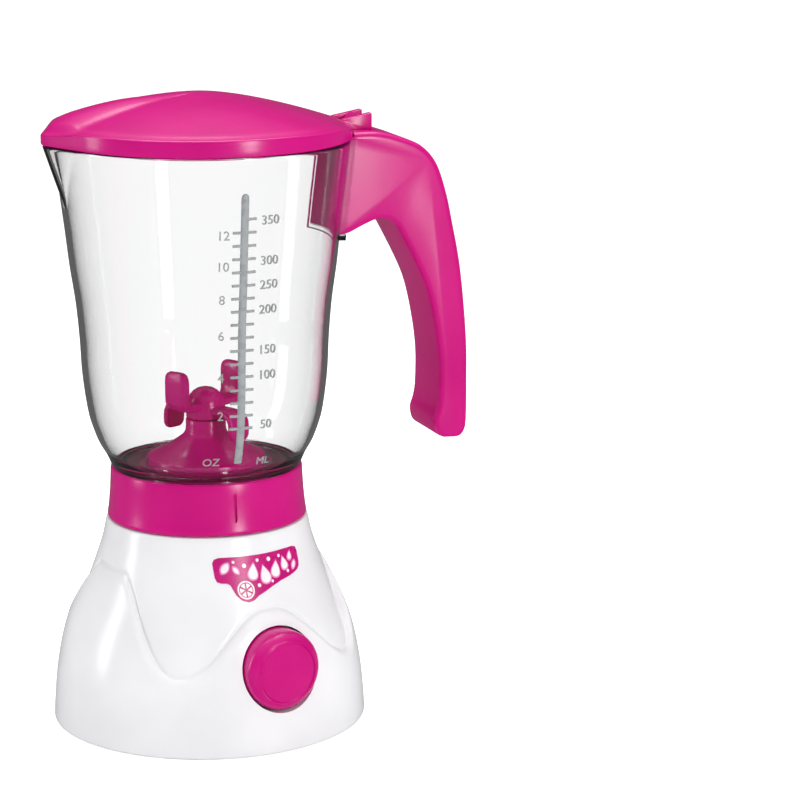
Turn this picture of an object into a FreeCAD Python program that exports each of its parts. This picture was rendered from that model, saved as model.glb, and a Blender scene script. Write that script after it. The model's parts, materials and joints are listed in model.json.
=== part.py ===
import FreeCAD, Part
import math
import os

# Toy blender: a push-button base, a lift-off clear jar with spinning blades and a hinged lid.
# Millimetres, +Z up, origin at the centre of the underside. The handle points along +X, the spout
# along -X, and the jar's scale faces -Y. The base's own front is turned a little towards the handle.

V = FreeCAD.Vector
UP = V(0, 0, 1)

# ---- fits ----
MOVING_GAP = 0.3        # between pieces that move past each other
RUNNING_GAP = 0.05      # radial, round shafts that turn in a hole
SEAT_GAP = 0.1          # between moulded pieces that are assembled and stay put
PRESS_GAP = 0.01        # radial, parts pressed or screwed on

# ---- base ----
BASE_TURN = 12.25       # degrees that the base's front is turned towards the handle
BASE_HEIGHT = 70.0
BASE_FOOT_RADIUS = 52.0
BASE_DECK_RADIUS = 34.0
BASE_WALL = 2.0
CONE_LOW_INSET = 2.6        # from the foot's radius to the cone's where the skirt leaves it
CONE_LOW_Z = 25.5
CONE_MID_INSET = 10.9       # from the foot's radius to the cone's, at CONE_MID_Z
CONE_MID_Z = 46.9
SKIRT_FOOT_BULGE = 1.2      # from the cone's foot out to the skirt's
SKIRT_MID_INSET = 0.6       # from the cone's foot to the skirt, at SKIRT_MID_Z
SKIRT_MID_Z = 19.2
SKIRT_HIGH_INSET = 6.0      # the same, at SKIRT_HIGH_Z
SKIRT_HIGH_Z = 40.4
SKIRT_TOP_Z = 56.0
WAVE_FRONT_Z = 46.2
WAVE_VALLEY_Z = 25.9
WAVE_SIDE_Z = 55.0
WAVE_VALLEY_ANGLE = 41.0
WAVE_SHARPNESS = 0.8
SPIGOT_RADIUS = 30.0
SPIGOT_HEIGHT = 7.5
SPIGOT_WALL = 2.0

# ---- bottom cover and screws ----
COVER_THICKNESS = 3.0
COVER_BOSS_INSET = 6.0      # from the cone's foot to the screws' circle
COVER_BOSS_RADIUS = 3.8
COVER_BOSS_TOP = 18.0
COVER_SCREW_RECESS = 2.0
SCREW_RADIUS = 1.5
SCREW_HEAD_RADIUS = 2.6
SCREW_HEAD_HEIGHT = 1.8
SCREW_SLOT_WIDTH = 0.7
COVER_SCREW_LENGTH = 9.0
COVER_RIB_RADII = (14.0, 30.0)
COVER_RIB_HEIGHT = 1.5
COVER_RIB_WALL = 1.6

# ---- button, slider and spring ----
BUTTON_Z = 27.4
BUTTON_RADIUS = 13.7
BUTTON_FACE_RADIUS = 10.5
BUTTON_FACE_REACH = 53.7    # from the axis to the button's front rim
BUTTON_FACE_RISE = 3.3       # the front rim stands this far in front of the full flank
BUTTON_DEPTH = 10.7
BUTTON_WALL = 2.0
BUTTON_DISH = 1.0
BUTTON_TRAVEL = 7.0
BUTTON_BOSS_RADIUS = 4.8
BUTTON_BOSS_LENGTH = 5.0
SLEEVE_WALL = 1.6
SLEEVE_END_REACH = 37.0
BAR_WIDTH = 5.0
RACK_BODY_HEIGHT = 6.8
RACK_BODY_BACK = -6.0       # X of the slider's plain side
RACK_END_REACH = 13.0       # how near the axis the slider's end is at rest
SPRING_WIRE = 0.8
SPRING_RADIUS = 5.6
SPRING_TURNS = 6
SPRING_POINTS = 16          # to a turn of the coil's path
SPRING_SEAT_REACH = 33.0

# ---- gears ----
PRESSURE_ANGLE = 25.0
RACK_MODULE = 1.0
RACK_PINION_TEETH = 10
RACK_LINE_X = 5.0           # X of the rack's pitch line
GEAR_MODULE = 0.8
LARGE_TEETH = 36
DRIVE_TEETH = 12
ADDENDUM = 0.85
DEDENDUM = 1.1
BACKLASH = 0.16
LARGE_GEAR_Z = 33.0
LARGE_GEAR_HEIGHT = 4.0
DRIVE_PINION_OVERHANG = 0.5
AXLE_RADIUS = 1.5
HUB_RADIUS = 3.4

# ---- gearbox ----
TRAY_Z = 17.0
TRAY_THICKNESS = 2.0
TRAY_RADIUS = 27.0
PLATE_Z = 39.5
PLATE_THICKNESS = 2.0
PILLAR_RADIUS = 3.8
PILLAR_CIRCLE = 23.5
PILLAR_ANGLES = (45.0, 135.0, 208.0)
PILLAR_SCREW_LENGTH = 18.0
PILLAR_SEAT_DEPTH = 3.0     # from the plate down to the screw head's seat
RAIL_WALL = 1.8
SPRING_WALL_HALF = 8.5      # half width of the wall that the spring stands against
AXLE_FLOOR = 0.5            # floor under the axle's blind hole
SHAFT_FLOOR = 0.8           # floor under the drive shaft's blind hole

# ---- drive ----
DRIVE_SHAFT_RADIUS = 1.5
BUSH_RADIUS = 3.5
BUSH_FLANGE_RADIUS = 5.2
BUSH_FLANGE_HEIGHT = 0.8
BUSH_LENGTH = 8.0
DOG_RADIUS = 6.0
DOG_DISC_HEIGHT = 2.6
DOG_WIDTH = 3.0
DOG_HEIGHT = 4.6
DOG_MARGIN = 0.6            # from the dog's end to its disc's edge

# ---- label ----
LABEL_HALF_WIDTH = 16.0
LABEL_LOW_SHARE = 0.395     # of the way from the wave's front peak to the deck
LABEL_HIGH_SHARE = 0.731
LABEL_LOBE_X = -7.5
LABEL_LOBE_SHARE = 0.353
LABEL_LOBE_RADIUS = 4.6
LABEL_CORNER = 2.5
LABEL_THICKNESS = 0.3

# ---- collar ----
COLLAR_LIP_RADIUS = 33.6
COLLAR_LIP_HEIGHT = 0.7
COLLAR_WAIST_RADIUS = 33.2
COLLAR_WAIST_RISE = 3.4
COLLAR_TOP_RADIUS = 32.3
COLLAR_HEIGHT = 17.2
COLLAR_SHELF_HEIGHT = 10.0  # from the collar's bottom to the top of its shelf
COLLAR_SHELF_THICKNESS = 2.0
COLLAR_HUB_BORE = 8.6
COLLAR_MARK_WIDTH = 1.0
COLLAR_MARK_LENGTH = 9.5
COLLAR_MARK_DEPTH = 0.6

# ---- jar ----
JAR_HEIGHT = 110.0          # from the collar's top to the jar's rim
JAR_FOOT_RADIUS = 31.8
JAR_SHOULDER_RADIUS = 41.0
JAR_SHOULDER_HEIGHT = 31.0
JAR_RIM_RADIUS = 49.3
JAR_WALL = 2.0
JAR_FLOOR_THICKNESS = 2.0
JAR_FLOOR_RISE = 0.8        # the floor's top above the collar's top
JAR_SKIRT_RADIUS = 30.0
SPOUT_REACH = 54.3
SPOUT_DEPTH = 27.0
SPOUT_HALF_ANGLE = 24.0
SPOUT_FOOT_REACH = 45.6
FRAME_RISE = 2.2            # the clear frame round the handle's root
FRAME_RAIL = 1.8
FRAME_DEPTH = 34.5
SCALE_LOW = 8.0             # heights above the collar's top
SCALE_HIGH = 98.2
SCALE_WIDTH = 2.6
SCALE_RISE = 0.8
TICK_LOW = 20.6
TICK_STEP = 4.35
TICK_COUNT = 17
TICK_REACH = 3.9
TICK_HEIGHT = 0.9

# ---- blade seat, shaft and rotor ----
SEAT_FLANGE_RADIUS = 22.7
SEAT_BAND_RADIUS = 19.8
SEAT_BAND_RISE = 2.7        # above the jar's floor
SEAT_CONE_RISE = 10.0
SEAT_NECK_RADIUS = 6.75
SEAT_NECK_RISE = 14.9
SEAT_WALL = 2.0
SEAT_LEG_CIRCLE = 14.0
SEAT_LEG_RADIUS = 3.0
SEAT_LEG_ANGLES = (30.0, 150.0, 270.0)
SEAT_SCREW_LENGTH = 6.0
BLADE_SHAFT_RADIUS = 2.0
CUP_RADIUS = 7.5
CUP_HEIGHT = 9.0
CLIP_RADIUS = 3.6
CLIP_THICKNESS = 0.6
ROTOR_RADIUS = 6.6
ROTOR_HEIGHT = 10.2
PADDLE_TURN = -62.5         # degrees from -Y towards +X
PADDLE_REACH = 14.6
PADDLE_WIDTH = 10.0
PADDLE_THICKNESS = 3.2
PADDLE_LOW = 3.2            # heights above the rotor's underside
PADDLE_HIGH = 17.2
PADDLE_CORNER = 2.2
DROOP_REACH = 16.4
DROOP_THICKNESS = 2.4
DROOP_WIDTH = 8.6
DROOP_HIGH = 4.2
DROOP_LOW = -6.0
ARM_THICKNESS = 2.6

# ---- handle ----
HANDLE_HALF_WIDTH = 13.0
HANDLE_REACH = 89.8
HANDLE_TOP_RISE = 0.8       # the handle's top above the lid's seat
HANDLE_LENGTH = 107.0       # from the handle's top to its toe
GRIP_THICKNESS = 10.3
HANDLE_WALL = 2.2
HANDLE_EDGE = 1.8
ROOT_DEPTH = 33.0           # height of the handle's root on the jar
HANDLE_COVER_THICKNESS = 2.0
HANDLE_COVER_RECESS = 0.9   # how deep the screws' heads sit in the cover
HANDLE_SCREW_LENGTH = 8.0
HANDLE_SCREW_SCALE = 0.72   # the handle's screws are smaller than the base's
HANDLE_BOSS_RADIUS = 2.2
HANDLE_SCREW_DROPS = (20.0, 86.0)
HANDLE_SHOULDER_SETBACK = 17.0  # the upper screw's distance from the handle's outer edge
HANDLE_HOLLOW_SETBACK = 10.5    # where the hollow starts, from the hinge's axis
HANDLE_TOP_RUN = 2.6            # the flat top ends this far beyond the hinge's axis
HANDLE_SHOULDER_RUN = 11.8      # and the shoulder starts to fall this far beyond it
HANDLE_SHOULDER_DROP = 2.2
# outlines of the grip, as (distance from the outer or inner line, share of the length below the top)
HANDLE_OUTER = ((16.6, 0.053), (10.2, 0.133), (5.6, 0.295), (1.0, 0.580), (0.0, 0.781), (0.2, 0.945))
HANDLE_INNER = ((1.9, 0.930), (0.1, 0.860), (0.0, 0.740), (1.5, 0.632), (4.2, 0.520), (7.9, 0.436),
                (14.3, 0.321), (18.6, 0.283), (22.4, 0.278), (31.5, 0.314))

# ---- lid and hinge ----
LID_RADIUS = 49.8
LID_WALL = 2.0
LID_BAND = 5.6
LID_RISE = 15.0
LID_SPOUT_EXTRA = 0.4
LID_RING_WALL = 2.0
LID_RING_DEPTH = 1.3
LID_RING_GAP = 0.5
LID_RING_END = 38.0         # X beyond which the ring is left out, near the hinge
LID_EDGE = 1.0
HINGE_X = 53.5
HINGE_RISE = 2.8            # above the jar's rim
HINGE_END_X = 57.5
HINGE_PIN_RADIUS = 1.1
HINGE_PIN_LENGTH = 10.4
EAR_INNER = 3.5
EAR_OUTER = 6.3
EAR_HEIGHT = 6.3
EAR_SLOPE = 10.0
TONGUE_RADIUS = 2.9

# ---- places that follow from the sizes ----
DECK_Z = BASE_HEIGHT
BUTTON_FLANK_REACH = BUTTON_FACE_REACH - BUTTON_FACE_RISE
BUTTON_BACK_REACH = BUTTON_FACE_REACH - BUTTON_DEPTH
LABEL_LOW_Z, LABEL_HIGH_Z, LABEL_LOBE_Z = (
    WAVE_FRONT_Z + share * (BASE_HEIGHT - WAVE_FRONT_Z)
    for share in (LABEL_LOW_SHARE, LABEL_HIGH_SHARE, LABEL_LOBE_SHARE))
COLLAR_Z = DECK_Z + MOVING_GAP
COLLAR_TOP_Z = COLLAR_Z + COLLAR_HEIGHT
SHELF_Z = COLLAR_Z + COLLAR_SHELF_HEIGHT
FLOOR_Z = COLLAR_TOP_Z + JAR_FLOOR_RISE
RIM_Z = COLLAR_TOP_Z + JAR_HEIGHT
LID_Z = RIM_Z + MOVING_GAP
HINGE_Z = LID_Z + HINGE_RISE
SEAT_TOP_Z = FLOOR_Z + SEAT_NECK_RISE
ROTOR_Z = SEAT_TOP_Z + MOVING_GAP
RACK_PINION_RADIUS = RACK_MODULE * RACK_PINION_TEETH / 2
LARGE_RADIUS = GEAR_MODULE * LARGE_TEETH / 2
DRIVE_RADIUS = GEAR_MODULE * DRIVE_TEETH / 2
GEAR_CENTRES = LARGE_RADIUS + DRIVE_RADIUS
STEP_X = RACK_LINE_X + RACK_PINION_RADIUS
STEP_Y = -math.sqrt(GEAR_CENTRES ** 2 - STEP_X ** 2)
RACK_LOW_Z = BUTTON_Z - RACK_BODY_HEIGHT / 2
TRAY_TOP_Z = TRAY_Z + TRAY_THICKNESS
PLATE_TOP_Z = PLATE_Z + PLATE_THICKNESS


# ---- helpers ----
def spline(points):
    """A smooth edge in the XZ plane through (x, z) points."""
    curve = Part.BSplineCurve()
    curve.interpolate([V(x, 0, z) for x, z in points])
    return curve.toShape()


def outline(*runs):
    """A closed face in the XZ plane: runs of (x, z) points, smooth within a run, straight between."""
    edges = []
    for index, run in enumerate(runs):
        if len(run) > 2:
            edges.append(spline(run))
        elif len(run) == 2:
            edges.append(Part.makeLine(V(run[0][0], 0, run[0][1]), V(run[1][0], 0, run[1][1])))
        end, start = run[-1], runs[(index + 1) % len(runs)][0]
        if math.hypot(end[0] - start[0], end[1] - start[1]) > 1e-6:
            edges.append(Part.makeLine(V(end[0], 0, end[1]), V(start[0], 0, start[1])))
    return Part.Face(Part.Wire(Part.__sortEdges__(edges)))


def turned(*runs):
    """A solid of revolution about Z from runs of (radius, z) points."""
    return outline(*runs).revolve(V(0, 0, 0), UP, 360)


def cylinder(radius, low, high, x=0.0, y=0.0):
    return Part.makeCylinder(radius, high - low, V(x, y, low))


def tube(outer, inner, low, high, x=0.0, y=0.0):
    return cylinder(outer, low, high, x, y).cut(cylinder(inner, low - 1, high + 1, x, y))


def box(x, y, z):
    """A box from three (low, high) pairs."""
    return Part.makeBox(x[1] - x[0], y[1] - y[0], z[1] - z[0], V(x[0], y[0], z[0]))


def along_y(radius, start, end, x, z):
    """A cylinder along Y from start to end."""
    return Part.makeCylinder(radius, end - start, V(x, start, z), V(0, 1, 0))


def fused(shapes):
    return shapes[0].multiFuse(shapes[1:]).removeSplitter()


def circle_points(radius, angles):
    return [(radius * math.cos(math.radians(a)), radius * math.sin(math.radians(a))) for a in angles]


def screw(x, y, seat, length, scale=1.0):
    """A pan-head screw with a cross recess; its head's underside is at seat and its shank points up."""
    radius, head_radius = scale * SCREW_RADIUS, scale * SCREW_HEAD_RADIUS
    head_height = scale * SCREW_HEAD_HEIGHT
    low, middle = seat - head_height, seat - head_height / 2
    head = cylinder(head_radius, low, seat, x, y)
    head = head.makeFillet(head_height * 0.35, [e for e in head.Edges if e.BoundBox.ZMax < middle])
    shank = cylinder(radius, seat, seat + length, x, y)
    shank = shank.makeChamfer(radius * 0.4, [e for e in shank.Edges if e.BoundBox.ZMin > seat + length / 2])
    reach, half = head_radius * 0.6, scale * SCREW_SLOT_WIDTH / 2
    body = head.fuse(shank)
    body = body.cut(box((x - reach, x + reach), (y - half, y + half), (low - 1, middle)))
    return body.cut(box((x - half, x + half), (y - reach, y + reach), (low - 1, middle)))


def save(shape, node):
    if shape.ShapeType == "Compound" and len(shape.Solids) == 1:
        shape = shape.Solids[0]
    shape.exportStep("parts/" + node + ".step")


def save_turned(shape, node):
    """Save a piece of the base, turned so that the base's front points the right way."""
    placed = shape.copy()
    placed.rotate(V(0, 0, 0), UP, BASE_TURN)
    save(placed, node)


# ---- base shell ----
def cone_run(inset=0.0):
    """The base's cone, from its foot to the deck, as (radius, z) points."""
    foot = BASE_FOOT_RADIUS - inset
    return [(foot, 0.0), (foot - CONE_LOW_INSET, CONE_LOW_Z), (foot - CONE_MID_INSET, CONE_MID_Z),
            (BASE_DECK_RADIUS - inset, BASE_HEIGHT)]


def skirt_run():
    foot = BASE_FOOT_RADIUS
    return [(foot + SKIRT_FOOT_BULGE, 0.0), (foot - SKIRT_MID_INSET, SKIRT_MID_Z),
            (foot - SKIRT_HIGH_INSET, SKIRT_HIGH_Z), (foot - CONE_MID_INSET - BASE_WALL, SKIRT_TOP_Z)]


def wave_z(angle):
    """Height of the wave line at an angle from the base's front, in degrees."""
    turn = abs((angle + 180.0) % 360.0 - 180.0)
    turn = min(turn, 180.0 - turn)
    if turn < WAVE_VALLEY_ANGLE:
        rise = (1 + math.cos(math.pi * turn / WAVE_VALLEY_ANGLE)) / 2
        peak = WAVE_FRONT_Z
    else:
        share = (turn - WAVE_VALLEY_ANGLE) / (90.0 - WAVE_VALLEY_ANGLE)
        rise = (1 - math.cos(math.pi * share)) / 2
        peak = WAVE_SIDE_Z
    return WAVE_VALLEY_Z + (peak - WAVE_VALLEY_Z) * rise ** WAVE_SHARPNESS


def wave_ring(radius):
    """The closed wave line on a cylinder of the given radius."""
    points = []
    for step in range(72):
        angle = step * 5.0
        turn = math.radians(angle)
        points.append(V(radius * math.sin(turn), -radius * math.cos(turn), wave_z(angle)))
    curve = Part.BSplineCurve()
    curve.interpolate(points, PeriodicFlag=True)
    return curve.toShape()


def under_wave():
    """A ring-shaped solid whose top is the wave, wide enough to cut the skirt."""
    inner, outer = BASE_DECK_RADIUS * 0.5, BASE_FOOT_RADIUS + SKIRT_FOOT_BULGE + 10
    low = -5.0
    rings = [wave_ring(inner), wave_ring(outer)]
    feet = []
    for radius in (inner, outer):
        foot = Part.Circle(V(0, 0, low), UP, radius).toShape()
        foot.rotate(V(0, 0, 0), UP, -90)
        feet.append(foot)
    faces = [Part.makeRuledSurface(rings[0], rings[1]),
             Part.makeRuledSurface(rings[0], feet[0]),
             Part.makeRuledSurface(rings[1], feet[1]),
             Part.makeRuledSurface(feet[0], feet[1])]
    shell = Part.makeShell(faces)
    shell.sewShape()
    solid = Part.makeSolid(Part.Shell(shell.Faces))
    if solid.Volume < 0:
        solid.reverse()
    return solid


def base_shell():
    cone = turned(cone_run(), [(0, BASE_HEIGHT), (0, 0)])
    skirt = turned(skirt_run(), [(0, SKIRT_TOP_Z), (0, 0)]).common(under_wave())
    inner = cone_run(BASE_WALL)
    inner[-1] = (BASE_DECK_RADIUS - BASE_WALL, BASE_HEIGHT - BASE_WALL)
    cavity = turned(inner, [(0, BASE_HEIGHT - BASE_WALL), (0, 0)])
    body = cone.fuse(skirt).cut(cavity)
    additions = [tube(SPIGOT_RADIUS, SPIGOT_RADIUS - SPIGOT_WALL, DECK_Z - BASE_WALL,
                      DECK_Z + SPIGOT_HEIGHT)]
    for x, y in circle_points(PILLAR_CIRCLE, PILLAR_ANGLES):
        additions.append(cylinder(PILLAR_RADIUS, PLATE_TOP_Z, DECK_Z - BASE_WALL / 2, x, y))
    within = turned(cone_run(BASE_WALL / 2), [(0, BASE_HEIGHT), (0, 0)])
    for x, y in cover_screw_places():
        boss = cylinder(COVER_BOSS_RADIUS, COVER_THICKNESS, COVER_BOSS_TOP, x, y)
        additions.append(boss.common(within))
    sleeve_outer = BUTTON_RADIUS + MOVING_GAP + SLEEVE_WALL
    sleeve = along_y(sleeve_outer, -BASE_FOOT_RADIUS, -SLEEVE_END_REACH, 0, BUTTON_Z)
    additions.append(sleeve.common(within))
    body = fused([body] + additions)
    outside = -BASE_FOOT_RADIUS - SKIRT_FOOT_BULGE - 5
    bores = [along_y(BUTTON_RADIUS + MOVING_GAP, outside, -SLEEVE_END_REACH + 1, 0, BUTTON_Z),
             cylinder(BUSH_RADIUS + SEAT_GAP, DECK_Z - BASE_WALL - 1, DECK_Z + 1)]
    pilot = SCREW_RADIUS + PRESS_GAP
    for x, y in circle_points(PILLAR_CIRCLE, PILLAR_ANGLES):
        bores.append(cylinder(pilot, PLATE_TOP_Z - 1, PLATE_TOP_Z + PILLAR_SCREW_LENGTH, x, y))
    for x, y in cover_screw_places():
        bores.append(cylinder(pilot, COVER_THICKNESS - 1, COVER_THICKNESS + COVER_SCREW_LENGTH, x, y))
    return body.cut(Part.makeCompound(bores)).removeSplitter()


# ---- bottom cover ----
def cover_screw_places():
    return circle_points(BASE_FOOT_RADIUS - COVER_BOSS_INSET, (45, 135, 225, 315))


def bottom_cover():
    plate = cylinder(BASE_FOOT_RADIUS - BASE_WALL - SEAT_GAP - 1.0, 0, COVER_THICKNESS)
    ribs = [tube(r, r - COVER_RIB_WALL, COVER_THICKNESS, COVER_THICKNESS + COVER_RIB_HEIGHT)
            for r in COVER_RIB_RADII]
    body = fused([plate] + ribs)
    for x, y in cover_screw_places():
        body = body.cut(cylinder(SCREW_RADIUS + SEAT_GAP, -1, COVER_THICKNESS + 1, x, y))
        body = body.cut(cylinder(SCREW_HEAD_RADIUS + SEAT_GAP, -1, COVER_SCREW_RECESS, x, y))
    return body


def cover_screws():
    return Part.makeCompound([screw(x, y, COVER_SCREW_RECESS - PRESS_GAP, COVER_SCREW_LENGTH)
                              for x, y in cover_screw_places()])


# ---- gears ----
def tooth_points(module, teeth):
    """One gear tooth about +X, as points from its root, over the tip, to its root."""
    pitch, alpha = module * teeth / 2, math.radians(PRESSURE_ANGLE)
    base = pitch * math.cos(alpha)
    tip, root = pitch + ADDENDUM * module, pitch - DEDENDUM * module
    half = (math.pi * module / 2 - BACKLASH) / (2 * pitch) + math.tan(alpha) - alpha
    start = max(base, root)
    flank = [(root, half)] if root < base else []
    for step in range(5):
        radius = start + (tip - start) * step / 4
        roll = math.acos(base / radius)
        flank.append((radius, half - (math.tan(roll) - roll)))
    return [(r, -a) for r, a in flank] + [(r, a) for r, a in reversed(flank)]


def gear(module, teeth, low, high, x, y, phase):
    """A spur gear with a tooth centred at phase, in degrees."""
    points = []
    for tooth in range(teeth):
        centre = math.radians(phase) + 2 * math.pi * tooth / teeth
        for radius, angle in tooth_points(module, teeth):
            points.append(V(x + radius * math.cos(centre + angle), y + radius * math.sin(centre + angle),
                            low))
    face = Part.Face(Part.makePolygon(points + points[:1]))
    return face.extrude(V(0, 0, high - low))


def step_phase():
    """Direction from the step gear's centre to the drive pinion's."""
    return math.degrees(math.atan2(-STEP_Y, -STEP_X))


def step_gear():
    large = gear(GEAR_MODULE, LARGE_TEETH, LARGE_GEAR_Z, LARGE_GEAR_Z + LARGE_GEAR_HEIGHT, STEP_X, STEP_Y,
                 step_phase())
    rim, web = LARGE_RADIUS - 3.0, LARGE_GEAR_HEIGHT * 0.3
    for low in (LARGE_GEAR_Z - 1, LARGE_GEAR_Z + LARGE_GEAR_HEIGHT - web):
        large = large.cut(tube(rim, RACK_PINION_RADIUS + 1.5, low, low + web + 1, STEP_X, STEP_Y))
    small = gear(RACK_MODULE, RACK_PINION_TEETH, RACK_LOW_Z - 0.5, LARGE_GEAR_Z + 1, STEP_X, STEP_Y, 180)
    hub = cylinder(HUB_RADIUS, TRAY_TOP_Z + MOVING_GAP, PLATE_Z - MOVING_GAP, STEP_X, STEP_Y)
    body = fused([large, small, hub])
    return body.cut(cylinder(AXLE_RADIUS + RUNNING_GAP, TRAY_Z, PLATE_TOP_Z, STEP_X, STEP_Y))


def gear_axle():
    return cylinder(AXLE_RADIUS, TRAY_Z + AXLE_FLOOR, PLATE_TOP_Z, STEP_X, STEP_Y)


def drive_pinion():
    phase = step_phase() + 180 + 180.0 / DRIVE_TEETH
    low = LARGE_GEAR_Z - DRIVE_PINION_OVERHANG
    high = LARGE_GEAR_Z + LARGE_GEAR_HEIGHT + DRIVE_PINION_OVERHANG
    body = gear(GEAR_MODULE, DRIVE_TEETH, low, high, 0, 0, phase)
    return body.cut(cylinder(DRIVE_SHAFT_RADIUS + PRESS_GAP, low - 1, high + 1))


# ---- button, slider, spring ----
def button_floor():
    """Reach of the cap's inner floor, which the spring pushes on."""
    return BUTTON_FLANK_REACH - BUTTON_WALL


def button_cap():
    """The cap, a cup along Y with a raised, dished face."""
    flank = [(BUTTON_RADIUS, BUTTON_FLANK_REACH), (BUTTON_RADIUS - 0.8, BUTTON_FLANK_REACH + 1.9),
             (BUTTON_FACE_RADIUS, BUTTON_FACE_REACH)]
    dish = [(BUTTON_FACE_RADIUS, BUTTON_FACE_REACH),
            (BUTTON_FACE_RADIUS / 2, BUTTON_FACE_REACH - 0.75 * BUTTON_DISH),
            (0, BUTTON_FACE_REACH - BUTTON_DISH)]
    cap = turned([(0, BUTTON_BACK_REACH), (BUTTON_RADIUS, BUTTON_BACK_REACH)], flank, dish)
    hollow = cylinder(BUTTON_RADIUS - BUTTON_WALL, BUTTON_BACK_REACH - 1, button_floor())
    boss = cylinder(BUTTON_BOSS_RADIUS, button_floor() - BUTTON_BOSS_LENGTH, button_floor() + 1)
    cap = fused([cap.cut(hollow), boss])
    half = BAR_WIDTH / 2 + PRESS_GAP
    cap = cap.cut(box((-half, half), (-half, half), (0, button_floor())))
    cap.rotate(V(0, 0, 0), V(1, 0, 0), 90)
    cap.translate(V(0, 0, BUTTON_Z))
    return cap


def rack_teeth():
    """Rack teeth on the +X side, with a gap where the pinion's tooth points at rest."""
    pitch = math.pi * RACK_MODULE
    slope = math.tan(math.radians(PRESSURE_ANGLE))
    half = (pitch / 2 - BACKLASH) / 2
    tip, root = ADDENDUM * RACK_MODULE, DEDENDUM * RACK_MODULE
    first = STEP_Y - BUTTON_TRAVEL - 1.0 * pitch
    count = int((STEP_Y + 1.2 * pitch - first) / pitch) + 1
    start = math.ceil((first - STEP_Y) / pitch - 0.5)
    teeth = []
    for index in range(start, start + count):
        middle = STEP_Y + (index + 0.5) * pitch
        low, high = RACK_LINE_X - root, RACK_LINE_X + tip
        corners = [V(low - 0.5, middle - half - slope * root, RACK_LOW_Z),
                   V(low, middle - half - slope * root, RACK_LOW_Z),
                   V(high, middle - half + slope * tip, RACK_LOW_Z),
                   V(high, middle + half - slope * tip, RACK_LOW_Z),
                   V(low, middle + half + slope * root, RACK_LOW_Z),
                   V(low - 0.5, middle + half + slope * root, RACK_LOW_Z)]
        face = Part.Face(Part.makePolygon(corners + corners[:1]))
        teeth.append(face.extrude(V(0, 0, RACK_BODY_HEIGHT)))
    return teeth


def button_slider():
    half = BAR_WIDTH / 2
    stop = -(SPRING_SEAT_REACH - TRAY_THICKNESS) + MOVING_GAP
    bar = box((-half, half), (-button_floor() + SEAT_GAP, stop + 1),
              (BUTTON_Z - half, BUTTON_Z + half))
    body = box((RACK_BODY_BACK, RACK_LINE_X - DEDENDUM * RACK_MODULE), (stop, -RACK_END_REACH),
               (RACK_LOW_Z, RACK_LOW_Z + RACK_BODY_HEIGHT))
    within = box((RACK_BODY_BACK, RACK_LINE_X + 5), (stop, -RACK_END_REACH), (0, DECK_Z))
    return fused([bar, body] + [tooth.common(within) for tooth in rack_teeth()])


def return_spring():
    low = -button_floor() + SPRING_WIRE / 2 + PRESS_GAP
    high = -SPRING_SEAT_REACH - SPRING_WIRE / 2 - PRESS_GAP
    length = high - low
    count = SPRING_TURNS * SPRING_POINTS
    turns = [360.0 * index / SPRING_POINTS for index in range(count + 1)]
    path = Part.BSplineCurve()
    path.interpolate([V(x, y, length * index / count)
                      for index, (x, y) in enumerate(circle_points(SPRING_RADIUS, turns))])
    start = V(0, 2 * math.pi * SPRING_RADIUS, length / SPRING_TURNS)
    section = Part.Wire(Part.Circle(V(SPRING_RADIUS, 0, 0), start, SPRING_WIRE / 2).toShape())
    coil = Part.Wire(path.toShape()).makePipeShell([section], True, True)
    coil.rotate(V(0, 0, 0), V(1, 0, 0), -90)
    coil.translate(V(0, low, BUTTON_Z))
    return coil


# ---- gearbox ----
def gearbox_tray():
    floor = cylinder(TRAY_RADIUS, TRAY_Z, TRAY_TOP_Z)
    half = SPRING_WALL_HALF
    tongue = box((-half, half), (-SPRING_SEAT_REACH, -TRAY_RADIUS + 4), (TRAY_Z, TRAY_TOP_Z))
    seat_back = -SPRING_SEAT_REACH + TRAY_THICKNESS
    window = BAR_WIDTH / 2 + MOVING_GAP
    seat = box((-half, half), (-SPRING_SEAT_REACH, seat_back),
               (TRAY_Z, LARGE_GEAR_Z - MOVING_GAP - SEAT_GAP))
    rails = []
    rail_top = RACK_LOW_Z - MOVING_GAP
    back = RACK_BODY_BACK - MOVING_GAP
    rails.append(box((back - RAIL_WALL, back), (seat_back - 1, -RACK_END_REACH + BUTTON_TRAVEL + 2),
                     (TRAY_Z, BUTTON_Z + RACK_BODY_HEIGHT / 2)))
    for x in (RACK_BODY_BACK + 1.0, RACK_BODY_BACK + 6.5):
        rails.append(box((x, x + RAIL_WALL), (seat_back - 1, -RACK_END_REACH + BUTTON_TRAVEL + 2),
                         (TRAY_Z, rail_top)))
    pillars = [cylinder(PILLAR_RADIUS, TRAY_Z, PLATE_Z, x, y)
               for x, y in circle_points(PILLAR_CIRCLE, PILLAR_ANGLES)]
    bearing = cylinder(DRIVE_SHAFT_RADIUS + 2, TRAY_Z, RACK_LOW_Z - 2)
    body = fused([floor, tongue, seat, bearing] + rails + pillars)
    shaft_hole = DRIVE_SHAFT_RADIUS + RUNNING_GAP
    bores = [box((-window, window), (-SPRING_SEAT_REACH - 1, seat_back + 1),
                 (BUTTON_Z - window, BUTTON_Z + window)),
             cylinder(AXLE_RADIUS + PRESS_GAP, TRAY_Z + AXLE_FLOOR, TRAY_TOP_Z + 1, STEP_X, STEP_Y),
             cylinder(shaft_hole, TRAY_Z + SHAFT_FLOOR, BUTTON_Z)]
    for x, y in circle_points(PILLAR_CIRCLE, PILLAR_ANGLES):
        bores.append(cylinder(SCREW_RADIUS + SEAT_GAP, TRAY_Z - 1, PLATE_Z + 1, x, y))
        bores.append(cylinder(SCREW_HEAD_RADIUS + SEAT_GAP, TRAY_Z - 1, PLATE_Z - PILLAR_SEAT_DEPTH, x, y))
    return body.cut(Part.makeCompound(bores))


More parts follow.
